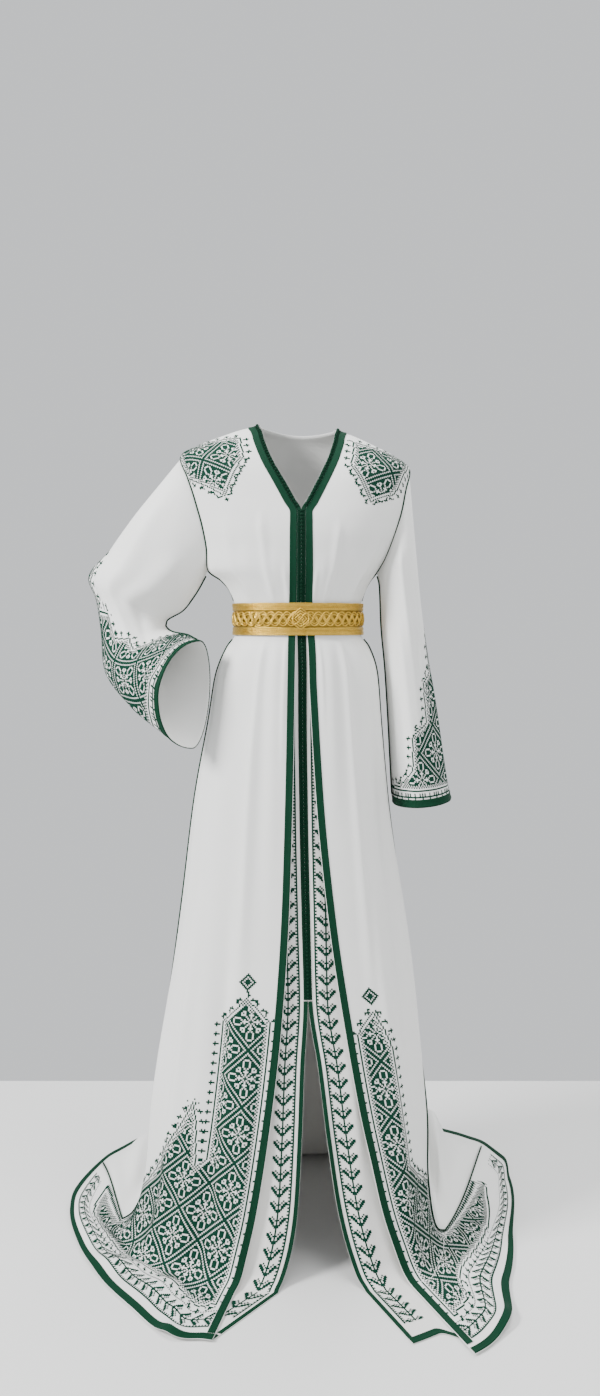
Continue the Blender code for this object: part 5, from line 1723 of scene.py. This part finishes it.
class KAFTAN_OT_stage(bpy.types.Operator):
    """Set the floor, the light and the camera"""

    bl_idname = "kaftan.stage"
    bl_label = "Stage"

    def execute(self, context):
        """A pale floor, soft light and a level camera in front."""
        scene = context.scene
        bm = bmesh.new()
        bmesh.ops.create_grid(bm, x_segments=12, y_segments=12, size=0.5)
        bmesh.ops.scale(bm, vec=FLOOR_SIZE, verts=bm.verts)
        bmesh.ops.translate(bm, vec=FLOOR_MIDDLE, verts=bm.verts)
        mesh = bpy.data.meshes.new("studio_floor")
        bm.to_mesh(mesh)
        bm.free()
        floor = bpy.data.objects.new("studio_floor", mesh)
        scene.collection.objects.link(floor)
        mesh.materials.append(studio_material("studio floor", scene.kaftan_colours.floor, 0.45))
        world = bpy.data.worlds.new("studio")
        world.use_nodes = True
        sky = world.node_tree.nodes["Background"]
        sky.inputs["Color"].default_value = SKY_COLOUR
        sky.inputs["Strength"].default_value = SKY_STRENGTH
        scene.world = world
        for name, place, aim, size, power in LIGHTS:
            lamp = bpy.data.lights.new(name, "AREA")
            lamp.size = size
            lamp.energy = power
            light = bpy.data.objects.new(name, lamp)
            light.location = place
            light.rotation_euler = (Vector(aim) - Vector(place)).to_track_quat("-Z", "Y").to_euler()
            scene.collection.objects.link(light)
        lens = bpy.data.cameras.new("camera")
        lens.sensor_fit = "HORIZONTAL"
        lens.sensor_width = SENSOR_WIDTH
        lens.lens = SENSOR_WIDTH * FOCAL_PIXELS / PHOTO_WIDTH
        lens.shift_y = (HORIZON_PIXEL - PHOTO_HEIGHT / 2) / PHOTO_WIDTH
        camera = bpy.data.objects.new("camera", lens)
        camera.location = (CAMERA_ACROSS, -CAMERA_DISTANCE, CAMERA_HEIGHT - SHOULDER_HEIGHT)
        camera.rotation_euler = (math.radians(90), 0, 0)
        scene.collection.objects.link(camera)
        scene.camera = camera
        return {"FINISHED"}


class KAFTAN_PT_pieces(bpy.types.Panel):
    """Lists the kaftan's sizes, colours and pieces"""

    bl_idname = "KAFTAN_PT_pieces"
    bl_label = "Moroccan Kaftan"
    bl_space_type = "VIEW_3D"
    bl_region_type = "UI"
    bl_category = "Kaftan"

    def draw(self, context):
        """Show the sizes, the colours and a button for each piece."""
        layout = self.layout
        for group in (context.scene.kaftan_sizes, context.scene.kaftan_colours):
            for name in group.bl_rna.properties.keys():
                if name not in ("rna_type", "name"):
                    layout.prop(group, name)
        for operator in OPERATORS:
            layout.operator(operator.bl_idname)


OPERATORS = (
    KAFTAN_OT_stage, KAFTAN_OT_outer_cloth, KAFTAN_OT_inner_cloth, KAFTAN_OT_sleeves, KAFTAN_OT_braids,
    KAFTAN_OT_buttons, KAFTAN_OT_piping, KAFTAN_OT_embroidery, KAFTAN_OT_belt,
)
CLASSES = (KaftanSizes, KaftanColours, *OPERATORS, KAFTAN_PT_pieces)


def register():
    """Add the classes and the scene's properties."""
    for one in CLASSES:
        bpy.utils.register_class(one)
    bpy.types.Scene.kaftan_sizes = bpy.props.PointerProperty(type=KaftanSizes)
    bpy.types.Scene.kaftan_colours = bpy.props.PointerProperty(type=KaftanColours)


def unregister():
    """Take the properties and the classes away again."""
    del bpy.types.Scene.kaftan_colours
    del bpy.types.Scene.kaftan_sizes
    for one in reversed(CLASSES):
        bpy.utils.unregister_class(one)


def main():
    """Make every piece in order."""
    register()
    bpy.ops.kaftan.stage()
    bpy.ops.kaftan.outer_cloth()
    bpy.ops.kaftan.inner_cloth()
    bpy.ops.kaftan.sleeves()
    bpy.ops.kaftan.braids()
    bpy.ops.kaftan.buttons()
    bpy.ops.kaftan.piping()
    bpy.ops.kaftan.embroidery()
    bpy.ops.kaftan.belt()


if __name__ == "__main__":
    main()
